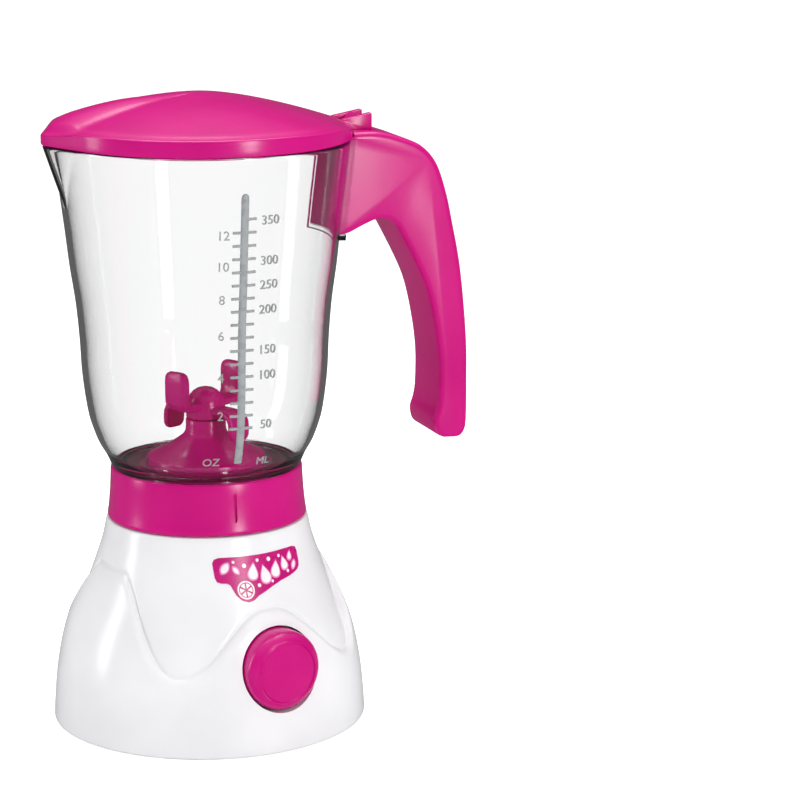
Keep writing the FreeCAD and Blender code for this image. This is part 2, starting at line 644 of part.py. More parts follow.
def gearbox_plate():
    plate = cylinder(TRAY_RADIUS, PLATE_Z, PLATE_TOP_Z)
    bores = [cylinder(AXLE_RADIUS + PRESS_GAP, PLATE_Z - 1, PLATE_TOP_Z + 1, STEP_X, STEP_Y),
             cylinder(DRIVE_SHAFT_RADIUS + RUNNING_GAP, PLATE_Z - 1, PLATE_TOP_Z + 1)]
    for x, y in circle_points(PILLAR_CIRCLE, PILLAR_ANGLES):
        bores.append(cylinder(SCREW_RADIUS + SEAT_GAP, PLATE_Z - 1, PLATE_TOP_Z + 1, x, y))
    return plate.cut(Part.makeCompound(bores))


def gearbox_screws():
    seat = PLATE_Z - PILLAR_SEAT_DEPTH - PRESS_GAP
    return Part.makeCompound([screw(x, y, seat, PILLAR_SCREW_LENGTH)
                              for x, y in circle_points(PILLAR_CIRCLE, PILLAR_ANGLES)])


# ---- drive ----
def deck_bush():
    low = DECK_Z + PRESS_GAP
    flange = cylinder(BUSH_FLANGE_RADIUS, low, low + BUSH_FLANGE_HEIGHT)
    barrel = cylinder(BUSH_RADIUS, low - BUSH_LENGTH, low + BUSH_FLANGE_HEIGHT)
    return flange.fuse(barrel).cut(cylinder(DRIVE_SHAFT_RADIUS + RUNNING_GAP, 0, DECK_Z + BUSH_LENGTH))


def dog_z():
    return DECK_Z + BUSH_FLANGE_HEIGHT + MOVING_GAP


def drive_dog():
    low = dog_z()
    disc = cylinder(DOG_RADIUS, low, low + DOG_DISC_HEIGHT)
    reach = DOG_RADIUS - DOG_MARGIN
    tongue = box((-reach, reach), (-DOG_WIDTH / 2, DOG_WIDTH / 2), (low, low + DOG_DISC_HEIGHT + DOG_HEIGHT))
    body = fused([disc, tongue])
    return body.cut(cylinder(DRIVE_SHAFT_RADIUS + PRESS_GAP, low - 1, low + DOG_DISC_HEIGHT))


def drive_shaft():
    low, high = TRAY_Z + SHAFT_FLOOR + MOVING_GAP, dog_z() + DOG_DISC_HEIGHT - SEAT_GAP
    return cylinder(DRIVE_SHAFT_RADIUS, low, high)


# ---- label ----
def label():
    skin = turned(cone_run(-LABEL_THICKNESS), [(0, BASE_HEIGHT), (0, 0)])
    skin = skin.cut(turned(cone_run(-PRESS_GAP), [(0, BASE_HEIGHT), (0, 0)]))
    panel = box((-LABEL_HALF_WIDTH, LABEL_HALF_WIDTH), (-BASE_FOOT_RADIUS, 0), (LABEL_LOW_Z, LABEL_HIGH_Z))
    corners = [e for e in panel.Edges if e.BoundBox.YLength > BASE_FOOT_RADIUS / 2]
    panel = panel.makeFillet(LABEL_CORNER, corners)
    lobe = along_y(LABEL_LOBE_RADIUS, -BASE_FOOT_RADIUS, 0, LABEL_LOBE_X, LABEL_LOBE_Z)
    piece = skin.common(panel.fuse(lobe))
    return fused([piece]) if len(piece.Solids) == 1 else max(piece.Solids, key=lambda s: s.Volume)


# ---- collar ----
def jar_collar():
    waist_z = COLLAR_Z + COLLAR_WAIST_RISE
    side = [(COLLAR_LIP_RADIUS, COLLAR_Z + COLLAR_LIP_HEIGHT), (COLLAR_WAIST_RADIUS, waist_z),
            (COLLAR_TOP_RADIUS + 0.2, (waist_z + COLLAR_TOP_Z) / 2), (COLLAR_TOP_RADIUS, COLLAR_TOP_Z)]
    body = turned([(COLLAR_LIP_RADIUS, COLLAR_Z)], side, [(0, COLLAR_TOP_Z), (0, COLLAR_Z)])
    shelf_low = SHELF_Z - COLLAR_SHELF_THICKNESS
    socket = cylinder(SPIGOT_RADIUS + MOVING_GAP, COLLAR_Z - 1, shelf_low)
    nest = cylinder(JAR_SKIRT_RADIUS + SEAT_GAP, SHELF_Z, COLLAR_TOP_Z + 1)
    mark_z = (COLLAR_Z + COLLAR_TOP_Z) / 2
    mark = box((-COLLAR_MARK_WIDTH / 2, COLLAR_MARK_WIDTH / 2),
               (-COLLAR_WAIST_RADIUS - 1, -COLLAR_TOP_RADIUS - 0.3 + COLLAR_MARK_DEPTH),
               (mark_z - COLLAR_MARK_LENGTH / 2, mark_z + COLLAR_MARK_LENGTH / 2))
    cuts = [socket, nest, mark, cylinder(COLLAR_HUB_BORE, shelf_low - 1, SHELF_Z + 1)]
    for x, y in circle_points(SEAT_LEG_CIRCLE, SEAT_LEG_ANGLES):
        cuts.append(cylinder(SCREW_RADIUS + SEAT_GAP, shelf_low - 1, SHELF_Z + 1, x, y))
    for cut in cuts:
        body = body.cut(cut)
    return body


# ---- jar ----
def jar_run(inset=0.0):
    """The bowl's outer line, from the collar to the rim, as (radius, z) points."""
    foot, shoulder, rim = (r - inset for r in (JAR_FOOT_RADIUS, JAR_SHOULDER_RADIUS, JAR_RIM_RADIUS))
    bulge = shoulder - foot
    flare = rim - shoulder
    rest = JAR_HEIGHT - JAR_SHOULDER_HEIGHT
    heights = [(foot, 0.0), (foot + 0.46 * bulge, 0.26 * JAR_SHOULDER_HEIGHT),
               (foot + 0.83 * bulge, 0.6 * JAR_SHOULDER_HEIGHT), (shoulder, JAR_SHOULDER_HEIGHT),
               (shoulder + 0.11 * flare, JAR_SHOULDER_HEIGHT + 0.21 * rest),
               (shoulder + 0.46 * flare, JAR_SHOULDER_HEIGHT + 0.52 * rest), (rim, JAR_HEIGHT)]
    return [(radius, COLLAR_TOP_Z + height) for radius, height in heights]


def spout_wedge(inset=0.0, lift=0.0):
    """The spout's solid, a leaning wedge on the jar's -X side; lift raises its open top."""
    top_z, low_z = RIM_Z, RIM_Z - SPOUT_DEPTH
    half = math.radians(SPOUT_HALF_ANGLE)
    rim = JAR_RIM_RADIUS - inset
    side_x, side_y = -rim * math.cos(half), rim * math.sin(half)
    mouth = [V(-(SPOUT_REACH - inset * 1.3), 0, top_z), V(side_x, -side_y, top_z), V(-rim * 0.5, 0, top_z),
             V(side_x, side_y, top_z)]
    foot_reach = SPOUT_FOOT_REACH - inset
    foot = [V(-foot_reach, 0, low_z), V(-foot_reach + 1.5, -1.5, low_z),
            V(-foot_reach + 6, 0, low_z), V(-foot_reach + 1.5, 1.5, low_z)]
    wedge = Part.makeLoft([Part.makePolygon(foot + foot[:1]), Part.makePolygon(mouth + mouth[:1])],
                          True, True)
    if lift:
        cap = Part.Face(Part.makePolygon(mouth + mouth[:1])).extrude(V(0, 0, lift))
        wedge = wedge.fuse(cap)
    return wedge


def scale_marks():
    """The raised scale: a bar with ticks, wrapped on the jar's front."""
    half = SCALE_WIDTH / 2
    front = (-JAR_RIM_RADIUS - 5, 0)
    marks = box((-half, half), front, (COLLAR_TOP_Z + SCALE_LOW, COLLAR_TOP_Z + SCALE_HIGH))
    ticks = []
    for index in range(TICK_COUNT):
        z = COLLAR_TOP_Z + TICK_LOW + index * TICK_STEP
        left = -TICK_REACH if index < TICK_COUNT - 1 else -half
        ticks.append(box((left, TICK_REACH), front, (z - TICK_HEIGHT / 2, z + TICK_HEIGHT / 2)))
    marks = marks.multiFuse(ticks)
    skin = turned(jar_run(-SCALE_RISE), [(0, RIM_Z), (0, COLLAR_TOP_Z)])
    return skin.common(marks)


def root_frame():
    """The clear frame on the jar that the handle's root slides into."""
    skin = turned(jar_run(-FRAME_RISE), [(0, RIM_Z), (0, COLLAR_TOP_Z)])
    half = HANDLE_HALF_WIDTH + SEAT_GAP + FRAME_RAIL
    block = box((0, JAR_RIM_RADIUS + 5), (-half, half), (RIM_Z - FRAME_DEPTH, RIM_Z - 1.0))
    opening = HANDLE_HALF_WIDTH + SEAT_GAP
    pocket = box((0, JAR_RIM_RADIUS + 9), (-opening, opening), (RIM_Z - ROOT_DEPTH - SEAT_GAP, RIM_Z))
    return skin.common(block).cut(pocket)


def jar_outer():
    return turned(jar_run(), [(0, RIM_Z), (0, COLLAR_TOP_Z)]).fuse(spout_wedge())


def jar():
    skirt = cylinder(JAR_SKIRT_RADIUS, SHELF_Z, COLLAR_TOP_Z + JAR_FLOOR_RISE)
    body = fused([jar_outer(), skirt, scale_marks(), root_frame()])
    inner = [p for p in jar_run(JAR_WALL) if p[1] > FLOOR_Z + 2]
    inner = [(JAR_FOOT_RADIUS - JAR_WALL - 1.6, FLOOR_Z)] + inner
    inner[-1] = (inner[-1][0], RIM_Z + 0.01)
    cavity = turned(inner, [(0, RIM_Z + 0.01), (0, FLOOR_Z)])
    body = body.cut(cavity).cut(spout_wedge(JAR_WALL, 1.0))
    under = cylinder(JAR_SKIRT_RADIUS - JAR_WALL, SHELF_Z - 1, FLOOR_Z - JAR_FLOOR_THICKNESS)
    hole = cylinder(SEAT_BAND_RADIUS + SEAT_GAP, SHELF_Z, FLOOR_Z + 1)
    return body.cut(under).cut(hole)


# ---- blade seat and rotor ----
def flange_top():
    return FLOOR_Z - JAR_FLOOR_THICKNESS - PRESS_GAP


def blade_seat():
    top = flange_top()
    band_top = FLOOR_Z + SEAT_BAND_RISE
    cone_top = FLOOR_Z + SEAT_CONE_RISE
    low = top - SEAT_WALL
    flare = [(SEAT_BAND_RADIUS - 1.0, band_top + 0.4),
             (SEAT_BAND_RADIUS * 0.62, band_top + 0.5 * (cone_top - band_top) - 0.4),
             (SEAT_NECK_RADIUS + 0.9, cone_top - 1.2), (SEAT_NECK_RADIUS, cone_top + 0.8)]
    outer = turned([(SEAT_FLANGE_RADIUS, low), (SEAT_FLANGE_RADIUS, top)],
                   [(SEAT_BAND_RADIUS, top), (SEAT_BAND_RADIUS, band_top - 0.4)], flare,
                   [(SEAT_NECK_RADIUS, SEAT_TOP_Z), (0, SEAT_TOP_Z)], [(0, low)])
    hollow = turned([(SEAT_BAND_RADIUS - SEAT_WALL, low - 1), (SEAT_BAND_RADIUS - SEAT_WALL, band_top - 2)],
                    [(SEAT_NECK_RADIUS - SEAT_WALL, cone_top - 3.4), (0, cone_top - 3.4)], [(0, low - 1)])
    legs = [cylinder(SEAT_LEG_RADIUS, SHELF_Z + PRESS_GAP, band_top, x, y)
            for x, y in circle_points(SEAT_LEG_CIRCLE, SEAT_LEG_ANGLES)]
    body = fused([outer.cut(hollow)] + [leg.common(outer.fuse(cylinder(SEAT_FLANGE_RADIUS, SHELF_Z, low)))
                                        for leg in legs])
    bores = [cylinder(BLADE_SHAFT_RADIUS + RUNNING_GAP, SHELF_Z, SEAT_TOP_Z + 1)]
    for x, y in circle_points(SEAT_LEG_CIRCLE, SEAT_LEG_ANGLES):
        bores.append(cylinder(SCREW_RADIUS + PRESS_GAP, SHELF_Z - 1, SHELF_Z + SEAT_SCREW_LENGTH, x, y))
    return body.cut(Part.makeCompound(bores))


def seat_screws():
    seat = SHELF_Z - COLLAR_SHELF_THICKNESS
    length = SEAT_SCREW_LENGTH + COLLAR_SHELF_THICKNESS - 0.5
    return Part.makeCompound([screw(x, y, seat - PRESS_GAP, length)
                              for x, y in circle_points(SEAT_LEG_CIRCLE, SEAT_LEG_ANGLES)])


def cup_z():
    return dog_z() + DOG_DISC_HEIGHT + MOVING_GAP


def driven_cup():
    low = cup_z()
    body = cylinder(CUP_RADIUS, low, low + CUP_HEIGHT)
    reach = DOG_RADIUS - DOG_MARGIN + MOVING_GAP
    half = DOG_WIDTH / 2 + MOVING_GAP
    slot = box((-reach, reach), (-half, half), (low - 1, dog_z() + DOG_DISC_HEIGHT + DOG_HEIGHT + MOVING_GAP))
    return body.cut(slot).cut(cylinder(BLADE_SHAFT_RADIUS + PRESS_GAP, low, low + CUP_HEIGHT + 1))


def clip_z():
    return FLOOR_Z + SEAT_CONE_RISE - 3.4 - MOVING_GAP - CLIP_THICKNESS


def shaft_clip():
    return tube(CLIP_RADIUS, BLADE_SHAFT_RADIUS + PRESS_GAP, clip_z(), clip_z() + CLIP_THICKNESS)


def blade_shaft():
    low = dog_z() + DOG_DISC_HEIGHT + DOG_HEIGHT + 2 * MOVING_GAP
    return cylinder(BLADE_SHAFT_RADIUS, low, ROTOR_Z + ROTOR_HEIGHT * 0.6)


def paddle(turn, reach, thickness, width, low, high, rounded_low):
    """A paddle on the end of a flat arm that leaves the hub at a turn from -Y towards +X."""
    half = width / 2
    plate = box((reach - thickness, reach), (-half, half), (ROTOR_Z + low, ROTOR_Z + high))
    edge_z = low if rounded_low else high
    corners = [e for e in plate.Edges if e.BoundBox.XLength > thickness * 0.9
               and abs(e.BoundBox.ZMin - ROTOR_Z - edge_z) < 0.01]
    plate = plate.makeFillet(PADDLE_CORNER, corners)
    arm_z = ROTOR_Z + (high if rounded_low else low)
    arm_low = arm_z - (ARM_THICKNESS if rounded_low else 0)
    arm = box((0, reach - thickness / 2), (-half * 0.8, half * 0.8), (arm_low, arm_low + ARM_THICKNESS))
    body = plate.fuse(arm)
    body.rotate(V(0, 0, 0), UP, turn - 90)
    return body


def blade_rotor():
    dome_z = ROTOR_Z + ROTOR_HEIGHT - ROTOR_RADIUS
    hub = cylinder(ROTOR_RADIUS, ROTOR_Z, dome_z)
    dome = Part.makeSphere(ROTOR_RADIUS, V(0, 0, dome_z), UP, 0, 90, 360)
    pieces = [hub, dome]
    raised = (PADDLE_REACH, PADDLE_THICKNESS, PADDLE_WIDTH, PADDLE_LOW, PADDLE_HIGH, False)
    drooping = (DROOP_REACH, DROOP_THICKNESS, DROOP_WIDTH, DROOP_LOW, DROOP_HIGH, True)
    for turn in (PADDLE_TURN, PADDLE_TURN + 180):
        pieces += [paddle(turn, *raised), paddle(turn + 90, *drooping)]
    body = fused(pieces)
    return body.cut(cylinder(BLADE_SHAFT_RADIUS + PRESS_GAP, ROTOR_Z - 1, ROTOR_Z + ROTOR_HEIGHT * 0.6 + 0.1))


# ---- handle ----
def handle_top():
    return LID_Z + HANDLE_TOP_RISE


def outer_run(inset=0.0):
    """The handle's outer edge, from its root over the shoulder to its toe."""
    top, reach = handle_top(), HANDLE_REACH - inset
    run = [(HINGE_X + HANDLE_TOP_RUN - inset, top - inset),
           (HINGE_X + HANDLE_SHOULDER_RUN - inset, top - HANDLE_SHOULDER_DROP - inset)]
    for index, (back, share) in enumerate(HANDLE_OUTER):
        run.append((reach - back, top - share * HANDLE_LENGTH - (inset if index == 0 else 0)))
    return run


def inner_run(inset=0.0):
    """The handle's finger side, from its toe up to the root."""
    top, grip = handle_top(), HANDLE_REACH - GRIP_THICKNESS + inset
    arch = len(HANDLE_INNER) - 4
    return [(grip - back, top - share * HANDLE_LENGTH + (inset if index >= arch else 0))
            for index, (back, share) in enumerate(HANDLE_INNER)]


def handle_outline(inset=0.0):
    """The handle's side outline; inset gives the outline of its hollow."""
    root_x = JAR_RIM_RADIUS - 8.0
    outer, inner = outer_run(inset), inner_run(inset)
    top, bottom = handle_top() - inset, handle_top() - HANDLE_LENGTH + inset
    toe = [(HANDLE_REACH - 0.9 - inset, bottom + 2.2), (HANDLE_REACH - 4.2, bottom)]
    heel = [(HANDLE_REACH - GRIP_THICKNESS - 0.6 + inset, bottom + 2.6)]
    return outline([(root_x, RIM_Z - ROOT_DEPTH + inset), (root_x, top)], outer, toe, heel, inner)


def root_trim(gap):
    """What the jar and the lid's rim take away from the handle's root."""
    bowl = turned(jar_run(-gap), [(0, RIM_Z), (0, COLLAR_TOP_Z)])
    rim = cylinder(LID_RADIUS + 2 * MOVING_GAP, RIM_Z - MOVING_GAP, LID_Z + LID_RISE)
    return bowl.fuse(rim)


def handle_screw_places():
    """(x, z) of the cover's screws."""
    setbacks = (HANDLE_SHOULDER_SETBACK, GRIP_THICKNESS / 2)
    return [(HANDLE_REACH - back, handle_top() - drop) for back, drop in zip(setbacks, HANDLE_SCREW_DROPS)]


def ear_space():
    """Room in the handle's top for the lid's ears to turn."""
    reach = math.hypot(HINGE_END_X - HINGE_X, EAR_HEIGHT - HINGE_RISE) + 2 * MOVING_GAP
    width = EAR_OUTER + MOVING_GAP
    return along_y(reach, -width, width, HINGE_X, HINGE_Z)


def hinge_tongue():
    half = EAR_INNER - MOVING_GAP
    knuckle = along_y(TONGUE_RADIUS, -half, half, HINGE_X, HINGE_Z)
    stem = box((HINGE_X - TONGUE_RADIUS, HINGE_X + TONGUE_RADIUS), (-half, half),
               (HINGE_Z - 9.0, HINGE_Z))
    return knuckle.fuse(stem)


def handle():
    half = HANDLE_HALF_WIDTH
    solid = handle_outline()
    solid.translate(V(0, -half, 0))
    solid = solid.extrude(V(0, 2 * half, 0))
    rims = [e for e in solid.Edges if e.BoundBox.YLength < 0.01 and e.BoundBox.XMax > JAR_RIM_RADIUS + 4]
    solid = solid.makeFillet(HANDLE_EDGE, rims)
    hollow = handle_outline(HANDLE_WALL)
    hollow.translate(V(0, -half + HANDLE_WALL, 0))
    hollow = hollow.extrude(V(0, 2 * half, 0))
    start = HINGE_X + HANDLE_HOLLOW_SETBACK
    hollow = hollow.common(box((start, HANDLE_REACH), (-half, 2 * half), (0, LID_Z)))
    body = solid.cut(hollow)
    floor, ledge = -half + HANDLE_WALL, half - HANDLE_COVER_THICKNESS
    bosses = [along_y(HANDLE_BOSS_RADIUS, floor - 1, ledge - PRESS_GAP, x, z)
              for x, z in handle_screw_places()]
    body = fused([body] + bosses)
    body = body.cut(root_trim(SEAT_GAP)).cut(ear_space())
    body = body.fuse(hinge_tongue())
    pilot = SCREW_RADIUS * HANDLE_SCREW_SCALE + PRESS_GAP
    cuts = [along_y(pilot, ledge - HANDLE_SCREW_LENGTH, half, x, z) for x, z in handle_screw_places()]
    cuts.append(along_y(HINGE_PIN_RADIUS + PRESS_GAP, -half, half, HINGE_X, HINGE_Z))
    return body.cut(Part.makeCompound(cuts)).removeSplitter()


def handle_cover():
    half = HANDLE_HALF_WIDTH
    plate = handle_outline(HANDLE_WALL + SEAT_GAP)
    plate.translate(V(0, half - HANDLE_COVER_THICKNESS, 0))
    plate = plate.extrude(V(0, HANDLE_COVER_THICKNESS - SEAT_GAP, 0))
    start = HINGE_X + HANDLE_HOLLOW_SETBACK + SEAT_GAP
    plate = plate.common(box((start, HANDLE_REACH), (0, 2 * half), (0, LID_Z)))
    seat = half - SEAT_GAP - HANDLE_COVER_RECESS
    for x, z in handle_screw_places():
        plate = plate.cut(along_y(SCREW_RADIUS * HANDLE_SCREW_SCALE + SEAT_GAP, 0, half + 1, x, z))
        plate = plate.cut(along_y(SCREW_HEAD_RADIUS * HANDLE_SCREW_SCALE + SEAT_GAP, seat, half + 1, x, z))
    return plate


def handle_screws():
    seat = HANDLE_HALF_WIDTH - SEAT_GAP - HANDLE_COVER_RECESS + PRESS_GAP
    screws = []
    for x, z in handle_screw_places():
        one = screw(0, 0, 0, HANDLE_SCREW_LENGTH, HANDLE_SCREW_SCALE)
        one.rotate(V(0, 0, 0), V(1, 0, 0), 90)
        one.translate(V(x, seat, z))
        screws.append(one)
    return Part.makeCompound(screws)


def hinge_pin():
    half = HINGE_PIN_LENGTH / 2
    return along_y(HINGE_PIN_RADIUS, -half, half, HINGE_X, HINGE_Z)


# ---- lid ----
def lid_dome(drop=0.0):
    """A broad shallow dome, wider than the lid, to be trimmed by the lid's plan."""
    edge_z = LID_Z + LID_BAND - drop
    peak_z = LID_Z + LID_RISE - drop
    rise = peak_z - edge_z
    run = [(0, peak_z), (0.45 * LID_RADIUS, edge_z + 0.76 * rise), (0.75 * LID_RADIUS, edge_z + 0.38 * rise),
           (LID_RADIUS, edge_z - 0.02 * rise), (LID_RADIUS * 1.2, edge_z - 0.42 * rise)]
    return turned(run, [(LID_RADIUS * 1.2, LID_Z - LID_RISE), (0, LID_Z - LID_RISE)])


def lid_plan(inset, low, high):
    """The lid's plan, a disc with the spout's point, as a prism."""
    disc = cylinder(LID_RADIUS - inset, low, high)
    half = math.radians(SPOUT_HALF_ANGLE)
    rim = LID_RADIUS - inset
    tip = SPOUT_REACH + LID_SPOUT_EXTRA - inset * 1.2
    corners = [V(-tip, 0, low), V(-rim * math.cos(half), -rim * math.sin(half), low), V(0, 0, low),
               V(-rim * math.cos(half), rim * math.sin(half), low)]
    point = Part.Face(Part.makePolygon(corners + corners[:1])).extrude(V(0, 0, high - low))
    return disc.fuse(point).removeSplitter()


def lid_ear(side):
    """One hinge ear, a slanted block at the lid's +X edge."""
    start = LID_RADIUS - 3.0
    rise = (HINGE_END_X - start) * math.tan(math.radians(EAR_SLOPE))
    low = LID_Z + MOVING_GAP
    corners = [V(start, 0, low), V(HINGE_END_X + 0.4, 0, low + 0.5), V(HINGE_END_X, 0, LID_Z + EAR_HEIGHT),
               V(start, 0, LID_Z + EAR_HEIGHT - rise)]
    face = Part.Face(Part.makePolygon(corners + corners[:1]))
    face.translate(V(0, EAR_INNER if side > 0 else -EAR_OUTER, 0))
    return face.extrude(V(0, EAR_OUTER - EAR_INNER, 0))


def lid():
    top = LID_Z + LID_RISE + 1
    body = lid_plan(0, LID_Z, top).common(lid_dome())
    hollow = lid_plan(LID_WALL, LID_Z - 1, top).common(lid_dome(LID_WALL))
    body = body.cut(hollow)
    ring_outer = JAR_RIM_RADIUS - JAR_WALL - LID_RING_GAP
    ring_inner, ring_top = ring_outer - LID_RING_WALL, LID_Z + LID_WALL + LID_BAND / 2
    ring = tube(ring_outer, ring_inner, LID_Z - LID_RING_DEPTH, ring_top)
    ring = ring.common(box((-LID_RADIUS, LID_RING_END), (-LID_RADIUS, LID_RADIUS), (0, top)))
    bridge = tube(LID_RADIUS - LID_WALL / 2, ring_inner, LID_Z + LID_BAND / 3, ring_top)
    bridge = bridge.common(lid_dome(LID_WALL / 2))
    body = fused([body, ring, bridge, lid_ear(1), lid_ear(-1)])
    pin_end = HINGE_PIN_LENGTH / 2 + SEAT_GAP
    return body.cut(along_y(HINGE_PIN_RADIUS + RUNNING_GAP, -pin_end, pin_end, HINGE_X, HINGE_Z))


TURNED_NODES = {
    "base_shell": base_shell, "bottom_cover": bottom_cover, "cover_screws": cover_screws,
    "gearbox_tray": gearbox_tray, "gearbox_plate": gearbox_plate, "gearbox_screws": gearbox_screws,
    "gear_axle": gear_axle, "step_gear": step_gear, "drive_pinion": drive_pinion,
    "button_cap": button_cap, "button_slider": button_slider, "return_spring": return_spring,
    "front_label": label,
}
STRAIGHT_NODES = {
    "deck_bush": deck_bush, "drive_shaft": drive_shaft, "drive_dog": drive_dog,
    "jar_collar": jar_collar, "jar": jar, "blade_seat": blade_seat, "seat_screws": seat_screws,
    "driven_cup": driven_cup, "blade_shaft": blade_shaft, "shaft_clip": shaft_clip,
    "blade_rotor": blade_rotor, "handle": handle, "handle_cover": handle_cover,
    "handle_screws": handle_screws, "hinge_pin": hinge_pin, "lid": lid,
}

os.makedirs("parts", exist_ok=True)
for node, build in TURNED_NODES.items():
    save_turned(build(), node)
for node, build in STRAIGHT_NODES.items():
    save(build(), node)
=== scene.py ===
# Toy blender: clear jar on a wavy white base, with magenta button, collar, handle and lid
import json
import math

import bmesh
import bpy
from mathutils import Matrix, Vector

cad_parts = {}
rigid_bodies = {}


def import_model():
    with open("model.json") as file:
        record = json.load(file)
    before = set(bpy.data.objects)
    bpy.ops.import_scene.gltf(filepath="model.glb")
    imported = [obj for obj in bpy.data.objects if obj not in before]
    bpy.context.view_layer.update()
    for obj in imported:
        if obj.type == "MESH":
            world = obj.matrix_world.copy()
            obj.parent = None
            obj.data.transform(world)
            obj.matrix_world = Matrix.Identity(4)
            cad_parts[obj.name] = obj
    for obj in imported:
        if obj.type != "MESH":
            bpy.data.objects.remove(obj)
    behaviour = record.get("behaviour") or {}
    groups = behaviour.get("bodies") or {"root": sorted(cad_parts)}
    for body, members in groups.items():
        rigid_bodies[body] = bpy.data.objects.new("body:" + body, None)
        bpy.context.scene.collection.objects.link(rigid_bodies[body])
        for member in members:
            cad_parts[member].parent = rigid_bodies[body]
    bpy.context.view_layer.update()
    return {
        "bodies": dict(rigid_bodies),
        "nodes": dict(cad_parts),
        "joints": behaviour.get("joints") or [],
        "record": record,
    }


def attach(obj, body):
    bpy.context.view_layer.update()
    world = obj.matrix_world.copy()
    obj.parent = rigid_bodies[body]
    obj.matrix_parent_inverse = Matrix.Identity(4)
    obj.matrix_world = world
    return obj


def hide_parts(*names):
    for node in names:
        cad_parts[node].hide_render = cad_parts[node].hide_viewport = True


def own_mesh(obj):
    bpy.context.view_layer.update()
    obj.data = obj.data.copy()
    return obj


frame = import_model()
mm = 0.001
baseTurn = math.radians(12.25)   # the base's front is turned this far towards the handle


# colours and materials

def hexColor(code):
    # an sRGB hex code as the linear colour that a socket takes
    parts = [int(code[i:i + 2], 16) / 255 for i in (1, 3, 5)]
    return tuple(p / 12.92 if p <= 0.04045 else ((p + 0.055) / 1.055) ** 2.4 for p in parts) + (1.0,)


def addNode(tree, kind, settings=None, links=None):
    # one node, with its sockets or options set, and its inputs linked
    node = tree.nodes.new("ShaderNode" + kind)
    for name, value in (settings or {}).items():
        if name in node.inputs:
            node.inputs[name].default_value = value
        else:
            setattr(node, name, value)
    for name, source in (links or {}).items():
        tree.links.new(source, node.inputs[name])
    return node


def pairUp(tree, operation, first, second):
    both = addNode(tree, "Math", {"operation": operation})
    tree.links.new(first, both.inputs[0])
    tree.links.new(second, both.inputs[1])
    return both.outputs[0]


def mixByRays(tree, rays, plain, special, straight=False):
    # give rays of the named kinds a shader of their own, or only those that no surface has mirrored
    path = addNode(tree, "LightPath")
    shares = [path.outputs[kind] for kind in rays]
    while len(shares) > 1:
        shares.append(pairUp(tree, "MAXIMUM", shares.pop(), shares.pop()))
    if straight:
        direct = addNode(tree, "Math", {"operation": "LESS_THAN"}, {"Value": path.outputs["Glossy Depth"]})
        direct.inputs[1].default_value = 0.5
        shares.append(pairUp(tree, "MINIMUM", shares.pop(), direct.outputs[0]))
    mix = addNode(tree, "MixShader", None, {"Fac": shares[0]})
    tree.links.new(plain, mix.inputs[1])
    tree.links.new(special, mix.inputs[2])
    return mix.outputs[0]


def makeMaterial(name, finish):
    # clouds vary the shade and the gloss, and a fine relief breaks up the highlights
    material = bpy.data.materials.new(name)
    material.use_nodes = True
    tree = material.node_tree
    shader = tree.nodes["Principled BSDF"]
    for socket, value in finish["shader"].items():
        shader.inputs[socket].default_value = value
    place = addNode(tree, "TexCoord").outputs["Object"]
    if "grain" in finish:
        place = addNode(tree, "Mapping", {"Scale": finish["grain"]}, {"Vector": place}).outputs["Vector"]

    def noise(size, detail):
        # size is that of the real pattern, in mm
        settings = {"Scale": 1 / (size * mm), "Detail": detail}
        return addNode(tree, "TexNoise", settings, {"Vector": place}).outputs["Fac"]

    clouds = noise(finish["clouds"], finish.get("cloudDetail", 2.0))
    if "shades" in finish:
        shade = addNode(tree, "ValToRGB", None, {"Fac": clouds})
        stops = zip(list(shade.color_ramp.elements), finish.get("spread", (0.35, 0.65)), finish["shades"])
        for stop, position, code in stops:
            stop.position, stop.color = position, hexColor(code)
        tree.links.new(shade.outputs["Color"], shader.inputs["Base Color"])
    low, high = finish["roughness"]
    gloss = addNode(tree, "MapRange", {"To Min": low, "To Max": high}, {"Value": clouds})
    tree.links.new(gloss.outputs["Result"], shader.inputs["Roughness"])
    strength, depth = finish["relief"]
    skin = noise(finish["skin"], 3.0) if "skin" in finish else clouds
    bump = addNode(tree, "Bump", {"Strength": strength, "Distance": depth * mm}, {"Height": skin})
    tree.links.new(bump.outputs["Normal"], shader.inputs["Normal"])
    return material


def letLightThrough(material, smoke, density, passes):
    # its thickness darkens it, and light on its way to what it holds goes straight through
    tree = material.node_tree
    end = tree.nodes["Material Output"]
    thickness = addNode(tree, "VolumeAbsorption", {"Color": hexColor(smoke), "Density": density})
    tree.links.new(thickness.outputs[0], end.inputs["Volume"])
    straight = addNode(tree, "BsdfTransparent", {"Color": hexColor(passes)})
    shader = tree.nodes["Principled BSDF"]
    surface = mixByRays(tree, ["Is Shadow Ray", "Is Diffuse Ray"], shader.outputs[0], straight.outputs[0])
    tree.links.new(surface, end.inputs["Surface"])


# moulded ABS, polished tool: bright gloss, almost no grain, a trace of cloudiness in the white
whiteAbs = makeMaterial("whiteMouldedAbs", {
    "shader": {"IOR": 1.53}, "clouds": 30, "shades": ("#EDEDF0", "#F4F4F6"),
    "roughness": (0.16, 0.24), "skin": 2.5, "relief": (0.25, 0.02)})
magentaAbs = makeMaterial("magentaMouldedAbs", {
    "shader": {"IOR": 1.48}, "clouds": 26, "shades": ("#C80079", "#D0007F"),
    "roughness": (0.17, 0.26), "skin": 2.2, "relief": (0.25, 0.02)})
# moulded nylon, unpigmented: satin, slightly milky and warm
naturalNylon = makeMaterial("naturalMouldedNylon", {
    "shader": {"IOR": 1.53}, "clouds": 12, "shades": ("#DDD9CC", "#EAE7DC"),
    "roughness": (0.38, 0.52), "skin": 0.8, "relief": (0.3, 0.03)})
